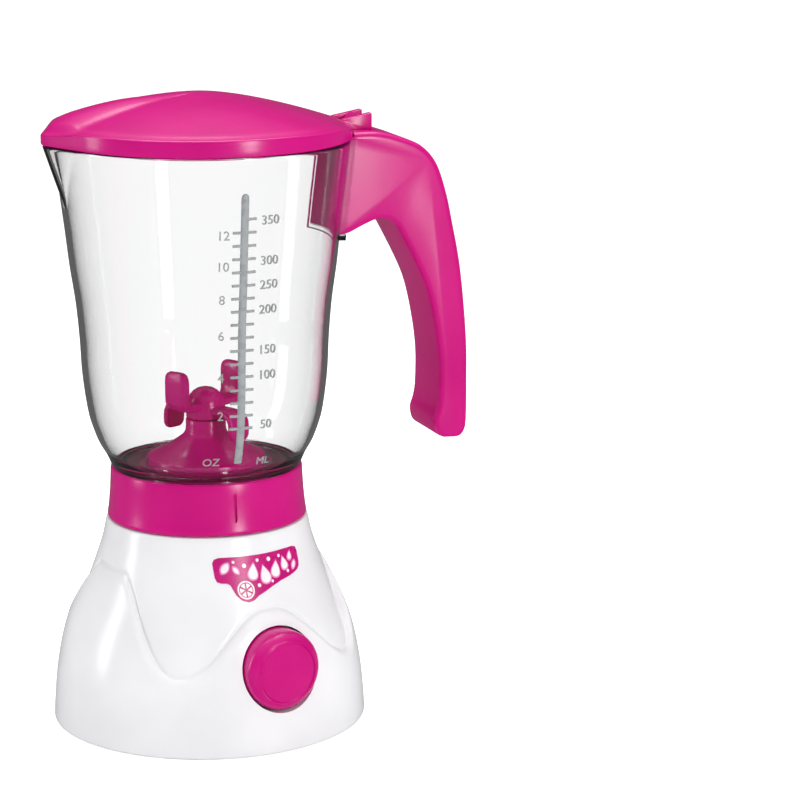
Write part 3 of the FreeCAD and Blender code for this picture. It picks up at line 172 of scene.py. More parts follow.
# clear styrene, moulded and polished: the faintest ripple from the tool, edges grey with thickness
clearStyrene = makeMaterial("clearMouldedStyrene", {
    "shader": {"Base Color": hexColor("#FEFEFE"), "Transmission Weight": 1.0, "IOR": 1.46},
    "clouds": 14, "cloudDetail": 1.0, "roughness": (0.0, 0.03), "relief": (0.3, 0.05)})
letLightThrough(clearStyrene, smoke="#B3B4B4", density=78.0, passes="#FCFCFC")
# the raised scale is clear styrene; its grey is painted shade for the dark edges a clear rib shows, grey before
# white, pale before magenta
paintedShadeStyrene = makeMaterial("styreneScaleWithPaintedShade", {
    "shader": {"IOR": 1.5}, "clouds": 3, "shades": ("#989C9E", "#A4A8AA"),
    "roughness": (0.22, 0.34), "skin": 0.6, "relief": (0.3, 0.02)})
# zinc plate, turned below: bluish bright, ring-shaped tool lines
zincSteel = makeMaterial("zincPlatedSteel", {
    "shader": {"Metallic": 1.0}, "grain": (1, 1, 6), "clouds": 0.6,
    "shades": ("#A4A8AE", "#C9CDD2"), "spread": (0.0, 1.0), "roughness": (0.22, 0.36), "relief": (0.2, 0.01)})
# drawn spring wire: darker, smoother
springSteel = makeMaterial("drawnSpringSteel", {
    "shader": {"Metallic": 1.0}, "grain": (1, 6, 1), "clouds": 0.5,
    "shades": ("#8E8E8C", "#B4B4B2"), "spread": (0.0, 1.0), "roughness": (0.2, 0.32), "relief": (0.2, 0.01)})
# printed vinyl film and inks under a clear lacquer: flat colour, even gloss
magentaFilm = makeMaterial("printedMagentaFilm", {
    "shader": {"IOR": 1.48}, "clouds": 9, "shades": ("#BC0070", "#C90A7B"),
    "roughness": (0.24, 0.3), "skin": 0.7, "relief": (0.1, 0.01)})
whiteInk = makeMaterial("printedWhiteInk", {
    "shader": {"IOR": 1.48}, "clouds": 5, "shades": ("#F2ECEF", "#F8F4F6"),
    "roughness": (0.24, 0.32), "skin": 0.5, "relief": (0.1, 0.01)})
pinkInk = makeMaterial("printedPinkInk", {
    "shader": {"IOR": 1.48}, "clouds": 5, "shades": ("#EA7AB8", "#F08CC4"),
    "roughness": (0.24, 0.32), "skin": 0.5, "relief": (0.1, 0.01)})
print("materials ready")


# modelling steps that every piece uses; pieces are modelled in mm and brought to metres when finished

def editMode(on=True):
    bpy.ops.object.mode_set(mode="EDIT" if on else "OBJECT")


def deselectAll():
    if bpy.context.mode != "OBJECT":
        editMode(False)
    bpy.ops.object.select_all(action="DESELECT")


def addNew(operator, name, **settings):
    # a new object, the only one selected
    deselectAll()
    operator(**settings)
    piece = bpy.context.object
    piece.name = name
    return piece


def pick(piece, *others):
    deselectAll()
    for item in (piece,) + others:
        item.select_set(True)
    bpy.context.view_layer.objects.active = piece


def selectAll():
    bpy.ops.mesh.select_all(action="SELECT")


def selectWhere(kind, test):
    # in edit mode, select the edges or faces that pass a test
    bpy.ops.mesh.select_mode(type=kind)
    bpy.ops.mesh.select_all(action="DESELECT")
    mesh = bmesh.from_edit_mesh(bpy.context.edit_object.data)
    for item in {"EDGE": mesh.edges, "FACE": mesh.faces}[kind]:
        if test(item):
            item.select_set(True)
    bmesh.update_edit_mesh(bpy.context.edit_object.data)


def placeCorners(rule):
    # in edit mode, put each selected corner where a rule on its place says, in mm
    mesh = bmesh.from_edit_mesh(bpy.context.edit_object.data)
    for corner in mesh.verts:
        if corner.select:
            corner.co = Vector(rule(corner.co))
    bmesh.update_edit_mesh(bpy.context.edit_object.data)


def applyModifier(piece, kind, settings):
    pick(piece)
    modifier = piece.modifiers.new(kind.title(), kind)
    for name, value in settings.items():
        setattr(modifier, name, value)
    bpy.ops.object.modifier_apply(modifier=modifier.name)


def boolean(piece, tool, operation, selfCut=False):
    # cut with a tool or join it on; the tool is used up
    applyModifier(piece, "BOOLEAN", {"object": tool, "operation": operation, "solver": "EXACT",
                                     "use_self": selfCut})
    bpy.data.objects.remove(tool)


def softenEdges(piece, width, segments=3):
    applyModifier(piece, "BEVEL", {"width": width, "segments": segments, "limit_method": "ANGLE"})


def joinPieces(first, *others):
    pick(first, *others)
    bpy.ops.object.join()
    return first


def cleanMesh(piece, distance=0.002):
    pick(piece)
    editMode()
    selectAll()
    bpy.ops.mesh.remove_doubles(threshold=distance)
    bpy.ops.mesh.normals_make_consistent(inside=False)
    editMode(False)


def settle(piece):
    # leave the object unturned at the origin, with its place in its mesh
    pick(piece)
    bpy.ops.object.transform_apply(location=True, rotation=True, scale=True)


def finishPiece(piece, name, material, body, nodes=(), sharp=30):
    piece.scale = (mm, mm, mm)
    settle(piece)
    piece.name = name
    piece.data.name = name
    piece.data.materials.clear()
    piece.data.materials.append(material)
    bpy.ops.object.shade_smooth_by_angle(angle=math.radians(sharp))
    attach(piece, body)
    if nodes:
        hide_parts(*nodes)
    print("made", name, len(piece.data.polygons), "faces")
    return piece


def smoothRun(points, steps):
    # a soft line through (radius, height) points, with steps new points between each two
    line = []
    for i in range(len(points) - 1):
        a, b = points[max(i - 1, 0)], points[i]
        c, d = points[i + 1], points[min(i + 2, len(points) - 1)]
        for k in range(steps):
            t = k / steps
            line.append(tuple(0.5 * (2 * q + (r - p) * t + (2 * p - 5 * q + 4 * r - s) * t ** 2
                                     + (3 * q - p - 3 * r + s) * t ** 3) for p, q, r, s in zip(a, b, c, d)))
    return line + [points[-1]]


def cornerChain(name, corners):
    # one corner, extruded from place to place, in mm; it stays in edit mode
    piece = addNew(bpy.ops.mesh.primitive_plane_add, name, size=1)
    editMode()
    bpy.ops.mesh.select_mode(type="VERT")
    bpy.ops.mesh.merge(type="CENTER")
    bpy.ops.transform.translate(value=corners[0])
    for (x0, y0, z0), (x1, y1, z1) in zip(corners, corners[1:]):
        bpy.ops.mesh.extrude_region_move(TRANSFORM_OT_translate={"value": (x1 - x0, y1 - y0, z1 - z0)})
    selectAll()
    return piece


def turnedPiece(name, outline, steps, closed=False):
    # a chain of (radius, height) corners, spun about the upright axis
    chain = outline + outline[:1] if closed else outline
    piece = cornerChain(name, [(radius, 0, height) for radius, height in chain])
    bpy.ops.mesh.spin(steps=steps, angle=2 * math.pi, center=(0, 0, 0), axis=(0, 0, 1))
    editMode(False)
    cleanMesh(piece)
    return piece


def growRings(name, places, corners):
    # a ring of corners, extruded once for each place: (radius, height) in mm, or a rule that gives
    # them for a turn
    piece = addNew(bpy.ops.mesh.primitive_circle_add, name, vertices=corners, radius=50)
    editMode()
    bpy.ops.mesh.select_mode(type="VERT")
    selectAll()
    for index, place in enumerate(places):
        def rule(spot):
            turn = math.atan2(spot.x, -spot.y)   # from -Y towards +X
            radius, height = place(turn) if callable(place) else place
            return radius * math.sin(turn), -radius * math.cos(turn), height

        if index:
            bpy.ops.mesh.extrude_region_move()
        placeCorners(rule)
    editMode(False)
    return piece


def roundBar(name, radius, start, end, spot=(0, 0), corners=96, upright=False):
    # a plain round bar along Y with its (x, z) given, or upright with its (x, y)
    middle = (start + end) / 2
    place = (*spot, middle) if upright else (spot[0], middle, spot[1])
    bar = addNew(bpy.ops.mesh.primitive_cylinder_add, name, vertices=corners, radius=radius,
                 depth=end - start, location=place, rotation=(0 if upright else math.pi / 2, 0, 0))
    settle(bar)
    return bar


def drill(piece, radius, start, end, spot=(0, 0), corners=96, upright=False):
    boolean(piece, roundBar("drilled", radius, start, end, spot, corners, upright), "DIFFERENCE")


def cutCorners(line):
    # a line of (radius, height, cut) corners in mm, with its inner ones cut off by their cuts
    places = [line[0][:2]]
    for before, (radius, height, cut), after in zip(line, line[1:], line[2:]):
        for r, z, _ in (before, after) if cut else ():
            share = cut / math.hypot(r - radius, z - height)
            places.append((radius + (r - radius) * share, height + (z - height) * share))
        if not cut:
            places.append((radius, height))
    return places + [line[-1][:2]]


def onCircle(radius, turns):
    # places on a circle round the axis, at turns in degrees from +X
    return [(radius * math.cos(math.radians(turn)), radius * math.sin(math.radians(turn))) for turn in turns]


def addBlock(name, low, high, edge=0.0, cuts=0):
    # a block between two corners in mm, with softened edges
    middle = [(a + b) / 2 for a, b in zip(low, high)]
    block = addNew(bpy.ops.mesh.primitive_cube_add, name, size=1, location=middle)
    block.scale = [(b - a) for a, b in zip(low, high)]
    settle(block)
    if cuts:
        editMode()
        selectAll()
        bpy.ops.mesh.subdivide(number_cuts=cuts)
        editMode(False)
    if edge:
        softenEdges(block, edge)
    return block


def plateFrom(name, outline, front, back):
    # a closed chain of (x, z) corners, filled and drawn out along Y
    piece = cornerChain(name, [(x, front, z) for x, z in outline + outline[:1]])
    bpy.ops.mesh.remove_doubles(threshold=0.01)
    bpy.ops.mesh.edge_face_add()
    bpy.ops.mesh.extrude_region_move(TRANSFORM_OT_translate={"value": (0, (back - front), 0)})
    selectAll()
    bpy.ops.mesh.normals_make_consistent(inside=False)
    editMode(False)
    return piece


def moveCorners(piece, rule):
    # put every corner where a rule on its (x, y, z) says
    pick(piece)
    editMode()
    selectAll()
    placeCorners(lambda spot: rule(*spot))
    editMode(False)


def growAlong(name, sections, corners, squareness):
    # a filled ring, extruded from section to section: (centre, across, out) in mm, where across and
    # out point from the centre to the middles of two sides
    piece = addNew(bpy.ops.mesh.primitive_circle_add, name, vertices=corners, radius=1, fill_type="NGON")
    editMode()
    bpy.ops.mesh.select_mode(type="VERT")
    selectAll()
    last = None
    for section in sections:
        centre, across, out = (Vector(part) for part in section)

        def rule(spot):
            if last:
                step = spot - last[0]
                a, b = (step.dot(way) / way.length_squared for way in last[1:])
            else:
                a, b = (math.copysign(abs(part) ** (2 / squareness), part) for part in spot.xy)
            return centre + across * a + out * b

        if last:
            bpy.ops.mesh.extrude_region_move()
        placeCorners(rule)
        last = (centre, across, out)
    editMode(False)
    cleanMesh(piece)
    return piece


def softShare(share):
    share = min(max(share, 0.0), 1.0)
    return share * share * (3 - 2 * share)


def along(line, height):
    # the radius of a (radius, height) line at a height
    for (r0, z0), (r1, z1) in zip(line, line[1:]):
        if z0 <= height <= z1:
            return r0 + (r1 - r0) * (height - z0) / max(z1 - z0, 1e-9)
    return line[-1][0] if height > line[-1][1] else line[0][0]


def turnFront(piece):
    # turn a piece of the base so that its front points the right way
    piece.rotation_euler = (0, 0, baseTurn)
    settle(piece)


# camera, floor and light
view = {"place": (-278.87, -941.43, 332.54), "heading": 20.32, "pitch": 12.86, "lens": 134.45,
        "sensor": 36, "clipEnd": 20}
camera = addNew(bpy.ops.object.camera_add, "Camera", location=[v * mm for v in view["place"]],
                rotation=(math.radians(90 - view["pitch"]), 0, -math.radians(view["heading"])))
camera.data.lens = view["lens"]
camera.data.sensor_width = view["sensor"]
camera.data.clip_end = view["clipEnd"]
scene = bpy.context.scene
scene.camera = camera
scene.view_settings.view_transform = "Standard"

studio = {
    "floorSize": 8.0, "floorWhite": "#F6F6F6", "floorGlow": 0.55, "floorGloss": 0.14,
    # the backdrop, the light it gives, and how bright both it and the floor look through glass
    "worldWhite": 1.0, "worldFill": 0.6, "throughGlass": 1.3,
    # what gloss finds in the room: a dim horizon under a bright ceiling
    "dim": 0.07, "ceiling": 0.85, "ceilingFrom": 0.45, "ceilingTo": 0.85,
    "lamps": [
        # name, place, aim, width, height, watts
        ("overheadSoftbox", (0.05, 0.15, 1.0), (0, 0, 0.15), 0.8, 0.7, 6.8),
        ("leftStrip", (-0.96, 0.24, 0.30), (0, 0, 0.12), 0.2, 0.6, 1.9),
        ("rightStrip", (0.34, -0.97, 0.27), (0, 0, 0.12), 0.18, 0.5, 3.5),
    ]}


def whiteLight(tree, kind, strength):
    return addNode(tree, kind, {"Color": hexColor("#FFFFFF"), "Strength": strength})


def splitByRays(tree, plain, mirrored, seen, bright):
    # what bounced light, gloss, the camera and the view through glass each find
    result = mixByRays(tree, ["Is Glossy Ray"], plain.outputs[0], mirrored.outputs[0])
    result = mixByRays(tree, ["Is Camera Ray"], result, seen.outputs[0])
    return mixByRays(tree, ["Is Transmission Ray"], result, bright.outputs[0], True)


def whiteWorld():
    world = scene.world or bpy.data.worlds.new("studioWorld")
    scene.world = world
    world.use_nodes = True
    tree = world.node_tree
    tree.nodes.clear()
    fill = whiteLight(tree, "Background", studio["worldFill"])
    backdrop = whiteLight(tree, "Background", studio["worldWhite"])
    bright = whiteLight(tree, "Background", studio["throughGlass"])
    room = whiteLight(tree, "Background", studio["ceiling"])
    place = addNode(tree, "TexCoord")
    parts = addNode(tree, "SeparateXYZ", None, {"Vector": place.outputs["Generated"]})
    height = addNode(tree, "MapRange", {"From Min": studio["ceilingFrom"], "From Max": studio["ceilingTo"],
                                        "To Min": studio["dim"], "To Max": studio["ceiling"]},
                     {"Value": parts.outputs["Z"]})
    tree.links.new(height.outputs["Result"], room.inputs["Strength"])
    addNode(tree, "OutputWorld", None, {"Surface": splitByRays(tree, fill, room, backdrop, bright)})


def paleFloor():
    floor = addNew(bpy.ops.mesh.primitive_plane_add, "studioFloor", size=studio["floorSize"])
    material = bpy.data.materials.new("paleStudioFloor")
    material.use_nodes = True
    tree = material.node_tree
    tree.nodes.clear()
    matt = addNode(tree, "BsdfDiffuse", {"Color": hexColor(studio["floorWhite"])})
    glow, gloss, bright = (whiteLight(tree, "Emission", studio[key])
                           for key in ("floorGlow", "floorGloss", "throughGlass"))
    lit = addNode(tree, "AddShader")
    tree.links.new(matt.outputs[0], lit.inputs[0])
    tree.links.new(glow.outputs[0], lit.inputs[1])
    addNode(tree, "OutputMaterial", None, {"Surface": splitByRays(tree, matt, gloss, lit, bright)})
    floor.data.materials.append(material)


def makeStudio():
    whiteWorld()
    paleFloor()
    for name, place, aim, width, height, watts in studio["lamps"]:
        lamp = addNew(bpy.ops.object.light_add, name, type="AREA", location=place)
        lamp.data.shape = "RECTANGLE"
        lamp.data.size, lamp.data.size_y = width, height
        lamp.data.energy = watts
        toward = Vector(aim) - Vector(place)
        lamp.rotation_euler = toward.to_track_quat("-Z", "Y").to_euler()


makeStudio()
print("studio ready")


# white base: a cone with a bulged skirt whose top edge runs in soft waves

base = {
    "height": 70.0, "wall": 2.0, "edge": 1.2,
    "cone": [(52.0, 0.0), (51.0, 14.0), (49.4, 25.5), (45.8, 34.1), (42.6, 42.7), (39.4, 51.2), (36.4, 59.7),
             (35.1, 64.0), (34.0, 70.0)],
    "skirt": [(53.2, 0.0), (52.5, 10.7), (51.5, 19.2), (49.9, 27.7), (47.5, 36.2), (43.8, 44.5), (39.4, 53.6),
              (37.6, 58.0)],
    "frontPeak": 44.6, "valley": 24.4, "sidePeak": 54.2, "valleyTurn": 41.0, "crests": (3.0, 78.0),
    "stepWidth": 3.0, "stepSteps": 8, "hollow": 0.7, "hollowWidth": 2.0, "skirtLow": 1.2, "skirtSteps": 9,
    "coneSteps": 14, "coneEase": 1.8, "footWidth": 2.4,
    "deck": (31.6, 10.0, 8.0),   # radii of its rings, two below and one above
    "spigotRadius": 30.0, "spigotWall": 2.0, "spigotHeight": 7.5, "shaftHole": 3.6,
    "buttonHeight": 27.4, "buttonHole": 14.0, "sleeveWall": 1.6, "sleeveStart": 60.0, "sleeveEnd": 37.0,
    "corners": 192}
coneLine = smoothRun(base["cone"], 6)
skirtLine = smoothRun(base["skirt"], 6)


def waveHeight(turn):
    # height of the skirt's edge: low between the front and the sides, high at both
    degrees = abs(math.degrees(turn))
    degrees = min(degrees, 180 - degrees)
    front, side = degrees < base["valleyTurn"], base["valleyTurn"]
    crest, peak = (base["crests"][0], base["frontPeak"]) if front else (base["crests"][1], base["sidePeak"])
    share = min(max((degrees - side) / (crest - side), 0.0), 1.0)
    return base["valley"] + (peak - base["valley"]) * (1 - math.cos(math.pi * share)) / 2


def skirtRing(share):
    half = base["stepWidth"] / 2

    def place(turn):
        z = base["skirtLow"] + share * (waveHeight(turn) - half - base["skirtLow"])
        return along(skirtLine, z), z
    return place


def coneRadius(turn, z):
    # the cone, with a soft hollow along the skirt's edge
    above = (z - waveHeight(turn) - base["stepWidth"] / 2) / base["hollowWidth"]
    return along(coneLine, z) - base["hollow"] * (1 - softShare(above))


def stepRing(share):
    # the skirt's rounded shoulder, falling to the cone
    def place(turn):
        z = waveHeight(turn) + (share * 2 - 1) * base["stepWidth"] / 2
        fall = 1 - math.sqrt(max(1 - share ** 2, 0.0))
        return (1 - fall) * along(skirtLine, z) + fall * coneRadius(turn, z), z
    return place


def coneRing(share):
    def place(turn):
        low = waveHeight(turn) + base["stepWidth"] / 2
        z = low + share ** base["coneEase"] * (base["height"] - base["edge"] - low)
        return coneRadius(turn, z), z
    return place


def bridgeEnds(piece):
    # close the shell between its first and last ring
    pick(piece)
    editMode()
    selectWhere("EDGE", lambda edge: edge.is_boundary)
    bpy.ops.mesh.bridge_edge_loops()
    editMode(False)
    cleanMesh(piece)


def whiteBase():
    foot, top, wall = base["skirt"][0][0], base["height"], base["wall"]
    rules = [(foot - base["footWidth"], 0.0), (foot - 0.5, 0.0), (foot - 0.05, 0.6)]
    rules += [skirtRing(i / base["skirtSteps"]) for i in range(base["skirtSteps"])]
    rules += [stepRing(i / base["stepSteps"]) for i in range(base["stepSteps"] + 1)]
    rules += [coneRing(i / base["coneSteps"]) for i in range(1, base["coneSteps"] + 1)]
    rim, spigot = base["cone"][-1][0], base["spigotRadius"]
    bore, tip = spigot - base["spigotWall"], top + base["spigotHeight"]
    hole, (far, under, over) = base["shaftHole"], base["deck"]
    rules.append((rim - 0.05, top - 0.45))
    rules += cutCorners([(rim - 0.5, top, 0), (spigot, top, 0.5), (spigot, tip, 0.5), (bore, tip, 0.4),
                         (bore, top, 0.4), (over, top, 0), (hole, top, 0), (hole, top - wall, 0),
                         (under, top - wall, 0), (far, top - wall, 0)])
    rules += [(r - wall, z) for r, z in reversed(coneLine[:-8:4])]
    piece = growRings("whiteBase", rules, base["corners"])
    bridgeEnds(piece)
    return piece


def baseShell():
    piece = whiteBase()
    applyModifier(piece, "SUBSURF", {"levels": 1, "render_levels": 1})
    # the button's sleeve, cut off halfway through the wall and bored
    spot, hole = (0, base["buttonHeight"]), base["buttonHole"]
    start, end, half = -base["sleeveStart"], -base["sleeveEnd"], base["wall"] / 2
    sleeve = roundBar("sleeve", hole + base["sleeveWall"], start, end, spot)
    body = [(0, half)] + [(r - half, max(z, half)) for r, z in coneLine[::3]] + [(0, base["height"] - half)]
    boolean(sleeve, turnedPiece("within", body, 96), "INTERSECT")
    boolean(piece, sleeve, "UNION")
    drill(piece, hole, start, end + 1, spot, 128)
    turnFront(piece)
    return finishPiece(piece, "whiteBaseShell", whiteAbs, "base", ["base_shell"])


baseShell()


# printed label on the base's front: fruit, leaves and drops on a magenta film

label = {
    "span": (-60, -25), "low": 47, "high": 66, "sunk": 0.1, "film": 0.28, "outlines": 0.32, "motifs": 0.36,
    "edge": [(-13.8, 63.6), (-6.0, 63.5), (2.0, 63.5), (9.0, 63.6), (14.0, 63.6), (15.5, 63.1), (16.0, 61.8),
             (16.0, 58.6), (15.7, 57.1), (14.6, 56.1), (12.6, 55.4), (10.6, 54.9), (6.6, 54.2), (2.8, 53.0),
             (-0.4, 51.7), (-2.8, 50.8), (-4.6, 49.6), (-6.6, 49.1), (-8.7, 49.8), (-10.2, 51.4), (-11.0, 53.2),
             (-11.6, 54.8), (-12.6, 55.5), (-14.4, 55.6), (-15.6, 56.1), (-16.0, 57.3), (-16.0, 61.9),
             (-15.4, 63.1)],
    # x, z, radii of the peel, the pith and the flesh, wedges, their share of the turn, start of each
    "fruit": (-6.9, 53.0, 2.9, 2.45, 2.1, 6, 0.72, 0.5),
    # kind, x, z, length, width and tilt
    "shapes": [("leaf", -12.6, 60.2, 3.6, 2.0, 40), ("leaf", -9.2, 59.4, 2.2, 1.2, -35),
               ("leaf", 13.2, 58.0, 2.4, 1.3, 30), ("drop", -3.4, 58.6, 5.0, 3.4, 12),
               ("drop", 0.8, 57.2, 5.6, 3.8, -8), ("drop", 5.2, 58.2, 5.0, 3.4, 14),
               ("drop", 9.0, 59.4, 4.0, 2.7, -10), ("drop", 12.0, 61.2, 2.6, 1.7, 15)],
    "dots": [(-6.2, 60.6, 0.7), (-1.3, 61.8, 0.55), (3.0, 61.6, 0.7), (7.3, 61.9, 0.5), (-9.6, 62.0, 0.45),
             (-2.0, 54.0, 0.6), (3.2, 54.6, 0.45), (10.2, 56.6, 0.5)],
    "border": 0.42, "corners": 28}


def motifOutline(kind, x, z, length, width, tilt, grow=0.0):
    # a leaf is pointed at both ends, a drop is round below
    a = math.radians(tilt)
    points = []
    for step in range(label["corners"]):
        t = 2 * math.pi * step / label["corners"]
        if kind == "leaf":
            taper, stretch = abs(math.sin(t)) ** 0.4, 1.4
        else:
            taper, stretch = 1.3 * math.sin(t / 2) ** 1.4, 1.2
        u = (width / 2 + grow) * math.sin(t) * taper
        v = (length / 2 + grow * stretch) * math.cos(t)
        points.append((x + u * math.cos(a) + v * math.sin(a), z - u * math.sin(a) + v * math.cos(a)))
    return points


def roundOutline(x, z, radius):
    turns = [2 * math.pi * k / label["corners"] for k in range(label["corners"])]
    return [(x + radius * math.sin(turn), z + radius * math.cos(turn)) for turn in turns]


def labelPrism(outline, more=0):
    front, back = label["span"]
    return plateFrom("labelPrism", outline, front - more, back + more)


def fruitSlice():
    # a ring of peel round wedges of flesh
    x, z, peel, pith, flesh, count, share, start = label["fruit"]
    ring = labelPrism(roundOutline(x, z, peel))
    boolean(ring, labelPrism(roundOutline(x, z, pith), 1), "DIFFERENCE")
    wedges = []
    for index in range(count):
        middle = 2 * math.pi * (index + 0.5) / count
        reach = math.pi / count * share
        arc = [(x + flesh * math.sin(middle + reach * k / 4), z + flesh * math.cos(middle + reach * k / 4))
               for k in range(-4, 5)]
        tip = (x + start * math.sin(middle), z + start * math.cos(middle))
        wedges.append(labelPrism(arc + [tip]))
    return joinPieces(ring, *wedges)


def layOnBase(prism, name, material, lift, nodes=(), crossing=False):
    # cut a thin skin on the base's cone to the outline of a prism
    heights = range(label["low"], label["high"] + 1)
    inner = [(along(coneLine, z) - label["sunk"], z) for z in heights]
    outer = [(along(coneLine, z) + lift, z) for z in reversed(heights)]
    skin = turnedPiece("skin", inner + outer, 240, closed=True)
    boolean(prism, skin, "INTERSECT", selfCut=crossing)
    turnFront(prism)
    return finishPiece(prism, name, material, "base", nodes)


def printedLabel():
    layOnBase(labelPrism(label["edge"]), "printedLabelFilm", magentaFilm, label["film"], ["front_label"])
    borders = [labelPrism(motifOutline(*shape, label["border"])) for shape in label["shapes"]]
    layOnBase(joinPieces(*borders), "labelPinkOutlines", pinkInk, label["outlines"], (), True)
    motifs = [labelPrism(motifOutline(*shape)) for shape in label["shapes"]]
    motifs += [labelPrism(roundOutline(*dot)) for dot in label["dots"]]
    layOnBase(joinPieces(fruitSlice(), *motifs), "labelWhiteMotifs", whiteInk, label["motifs"])


printedLabel()


# round push button: raised ring round a dished face, on a cup with a boss for its slider

button = {
    "height": 27.4, "floor": 48.4, "bar": 2.52, "travel": 7.0,
    "outline": [(0, 52.55), (4, 52.63), (7.5, 52.9), (9.4, 53.15), (9.9, 53.2), (10.05, 53.4), (10.15, 53.7),
                (10.35, 53.84), (10.55, 53.7), (10.68, 53.4), (10.85, 53.1), (11.5, 52.8), (12.3, 52.1),
                (12.95, 51.2), (13.25, 50.4), (13.4, 49.2), (13.4, 43.3), (13.1, 43.0),
                (11.7, 43.0), (11.7, 48.4), (4.8, 48.4), (4.8, 43.4), (0, 43.4)]}


def buttonCap():
    piece = turnedPiece("buttonCap", button["outline"], 160)
    half = button["bar"]
    hole = addBlock("barHole", (-half, -half, 40), (half, half, button["floor"]))
    boolean(piece, hole, "DIFFERENCE")
    piece.rotation_euler = (math.pi / 2, 0, 0)
    piece.location = (0, 0, button["height"])
    settle(piece)
    turnFront(piece)
    return finishPiece(piece, "magentaPushButton", magentaAbs, "button", ["button_cap"])


buttonCap()


# magenta collar: a lipped, slightly waisted ring with the jar's seat inside and a locking mark in front

collar = {
    "outline": [(30.35, 70.35), (33.1, 70.32), (33.45, 70.5), (33.6, 71.0), (33.5, 71.7), (33.25, 73.2),
                (32.95, 76.0), (32.65, 79.5), (32.45, 83.0), (32.3, 86.4), (32.15, 87.1), (31.7, 87.48),
                (30.4, 87.48), (30.12, 87.2), (30.12, 80.3), (8.6, 80.3), (8.6, 78.3), (30.35, 78.3)],
    "screwCircle": 14.0, "screwTurns": (30, 150, 270), "screwHole": 1.6, "shelf": (77, 81),
    "mark": ((-0.55, -34.5, 74.6), (0.55, -31.9, 84.0), 0.4)}


def jarCollar():
    piece = turnedPiece("collar", collar["outline"], 192, closed=True)
    for spot in onCircle(collar["screwCircle"], collar["screwTurns"]):
        drill(piece, collar["screwHole"], *collar["shelf"], spot, 48, True)
    low, high, edge = collar["mark"]
    boolean(piece, addBlock("mark", low, high, edge), "DIFFERENCE")
    return finishPiece(piece, "magentaJarCollar", magentaAbs, "jar", ["jar_collar"])


jarCollar()


# clear jar: a bowl that flares to a pouring spout, a moulded scale and a frame round the handle's root

jar = {
    "wall": 2.0, "corners": 320, "foot": 87.56, "floor": 88.3, "rim": 197.5, "under": 86.3, "hole": 19.95,
    "outer": [(31.7, 87.56), (33.65, 92.0), (35.95, 96.0), (37.7, 100.5), (39.4, 106.7), (41.0, 119.0),
              (41.65, 131.5), (42.7, 143.8), (44.4, 156.0), (45.8, 168.7), (47.5, 183.0), (49.3, 197.5)],
    "innerFoot": [(27.8, 88.35), (29.8, 89.6), (31.7, 92.2)], "innerLow": 94.5, "floorEdge": 27.0,
    "skirt": (28.0, 30.0), "skirtLow": 80.36,
    # rings by their distance below the rim, and the rim's rounding as (inset, drop)
    "spoutRings": (26.4, 25, 23, 21, 19, 17, 15, 13, 11, 9, 7, 5, 3, 1.5, 0.6),
    "rimRound": ((0.12, 0.28), (0.45, 0.04), (1.0, 0.0), (1.55, 0.04), (1.88, 0.28)),
    "spoutLow": 171.0, "spoutFoot": 45.8, "spoutReach": 54.5, "spoutSide": (45.04, 20.05), "spoutTip": 1.8,
    "spoutWall": 2.3, "spoutBack": 0.9}
wallLine = smoothRun(jar["outer"], 5)
spoutTurn = -math.pi / 2


def fromSpout(turn):
    # how far a turn is from the spout's own, without sign
    away = abs(turn - spoutTurn) % (2 * math.pi)
    return min(away, 2 * math.pi - away)


def spoutRadius(away, reach, side, tip):
    # a straight line in plan from the spout's rounded tip to its side point
    soft = math.sqrt(away ** 2 + math.radians(tip) ** 2)
    across, out = side[1], side[0]
    return reach * across / (across * math.cos(soft) + (reach - out) * math.sin(soft))


def jarRadius(turn, height, inset=0.0):
    radius = along(wallLine, height) - inset
    share = (height - jar["spoutLow"]) / (jar["rim"] - jar["spoutLow"])
    away = fromSpout(turn)
    if share > 0:
        reach = jar["spoutFoot"] + share * (jar["spoutReach"] - jar["spoutFoot"]) - inset * jar["spoutWall"] / 2
        out, across = jar["spoutSide"]
        side = (out - (1 - share) * jar["spoutBack"] - inset, max(share * across - inset * 0.4, 0.1))
        if away < math.atan2(side[1], side[0]):
            radius = max(radius, spoutRadius(away, reach, side, jar["spoutTip"]))
    return radius


def jarRing(height, inset=0.0):
    return lambda turn: (jarRadius(turn, height, inset), height)


def jarShell():
    rim, wall = jar["rim"], jar["wall"]
    heights = {z for r, z in wallLine if z < jar["spoutLow"]}
    upward = sorted(heights | {rim - step for step in jar["spoutRings"]})
    rules = [jarRing(z) for z in upward]
    rules += [lambda turn, i=inset, d=drop: (jarRadius(turn, rim, i), rim - d)
              for inset, drop in jar["rimRound"]]
    rules += [jarRing(z, wall) for z in reversed(upward) if z > jar["innerLow"]]
    rules += reversed(smoothRun(jar["innerFoot"], 3))
    under, hole, floor = jar["under"], jar["hole"], jar["floor"]
    low, foot, (inner, outer) = jar["skirtLow"], jar["foot"], jar["skirt"]
    rules += cutCorners([(jar["floorEdge"], floor, 0), (hole, floor, 0.3), (hole, under, 0.2),
                         (inner, under, 0.4), (inner, low, 0.3), (outer, low, 0.3), (outer, foot, 0.3),
                         (outer + 1, foot, 0)])[:-1]
    piece = growRings("jar", rules, jar["corners"])
    bridgeEnds(piece)
    return piece


def onWall(piece, turn=0.0, lift=0.0):
    # lay a flat piece, seen from the front with x to the right, round the jar's wall at a turn
    def rule(x, y, z):
        radius = along(wallLine, z)
        angle = turn + x / radius
        radius += lift - y
        return radius * math.sin(angle), -radius * math.cos(angle), z
    moveCorners(piece, rule)


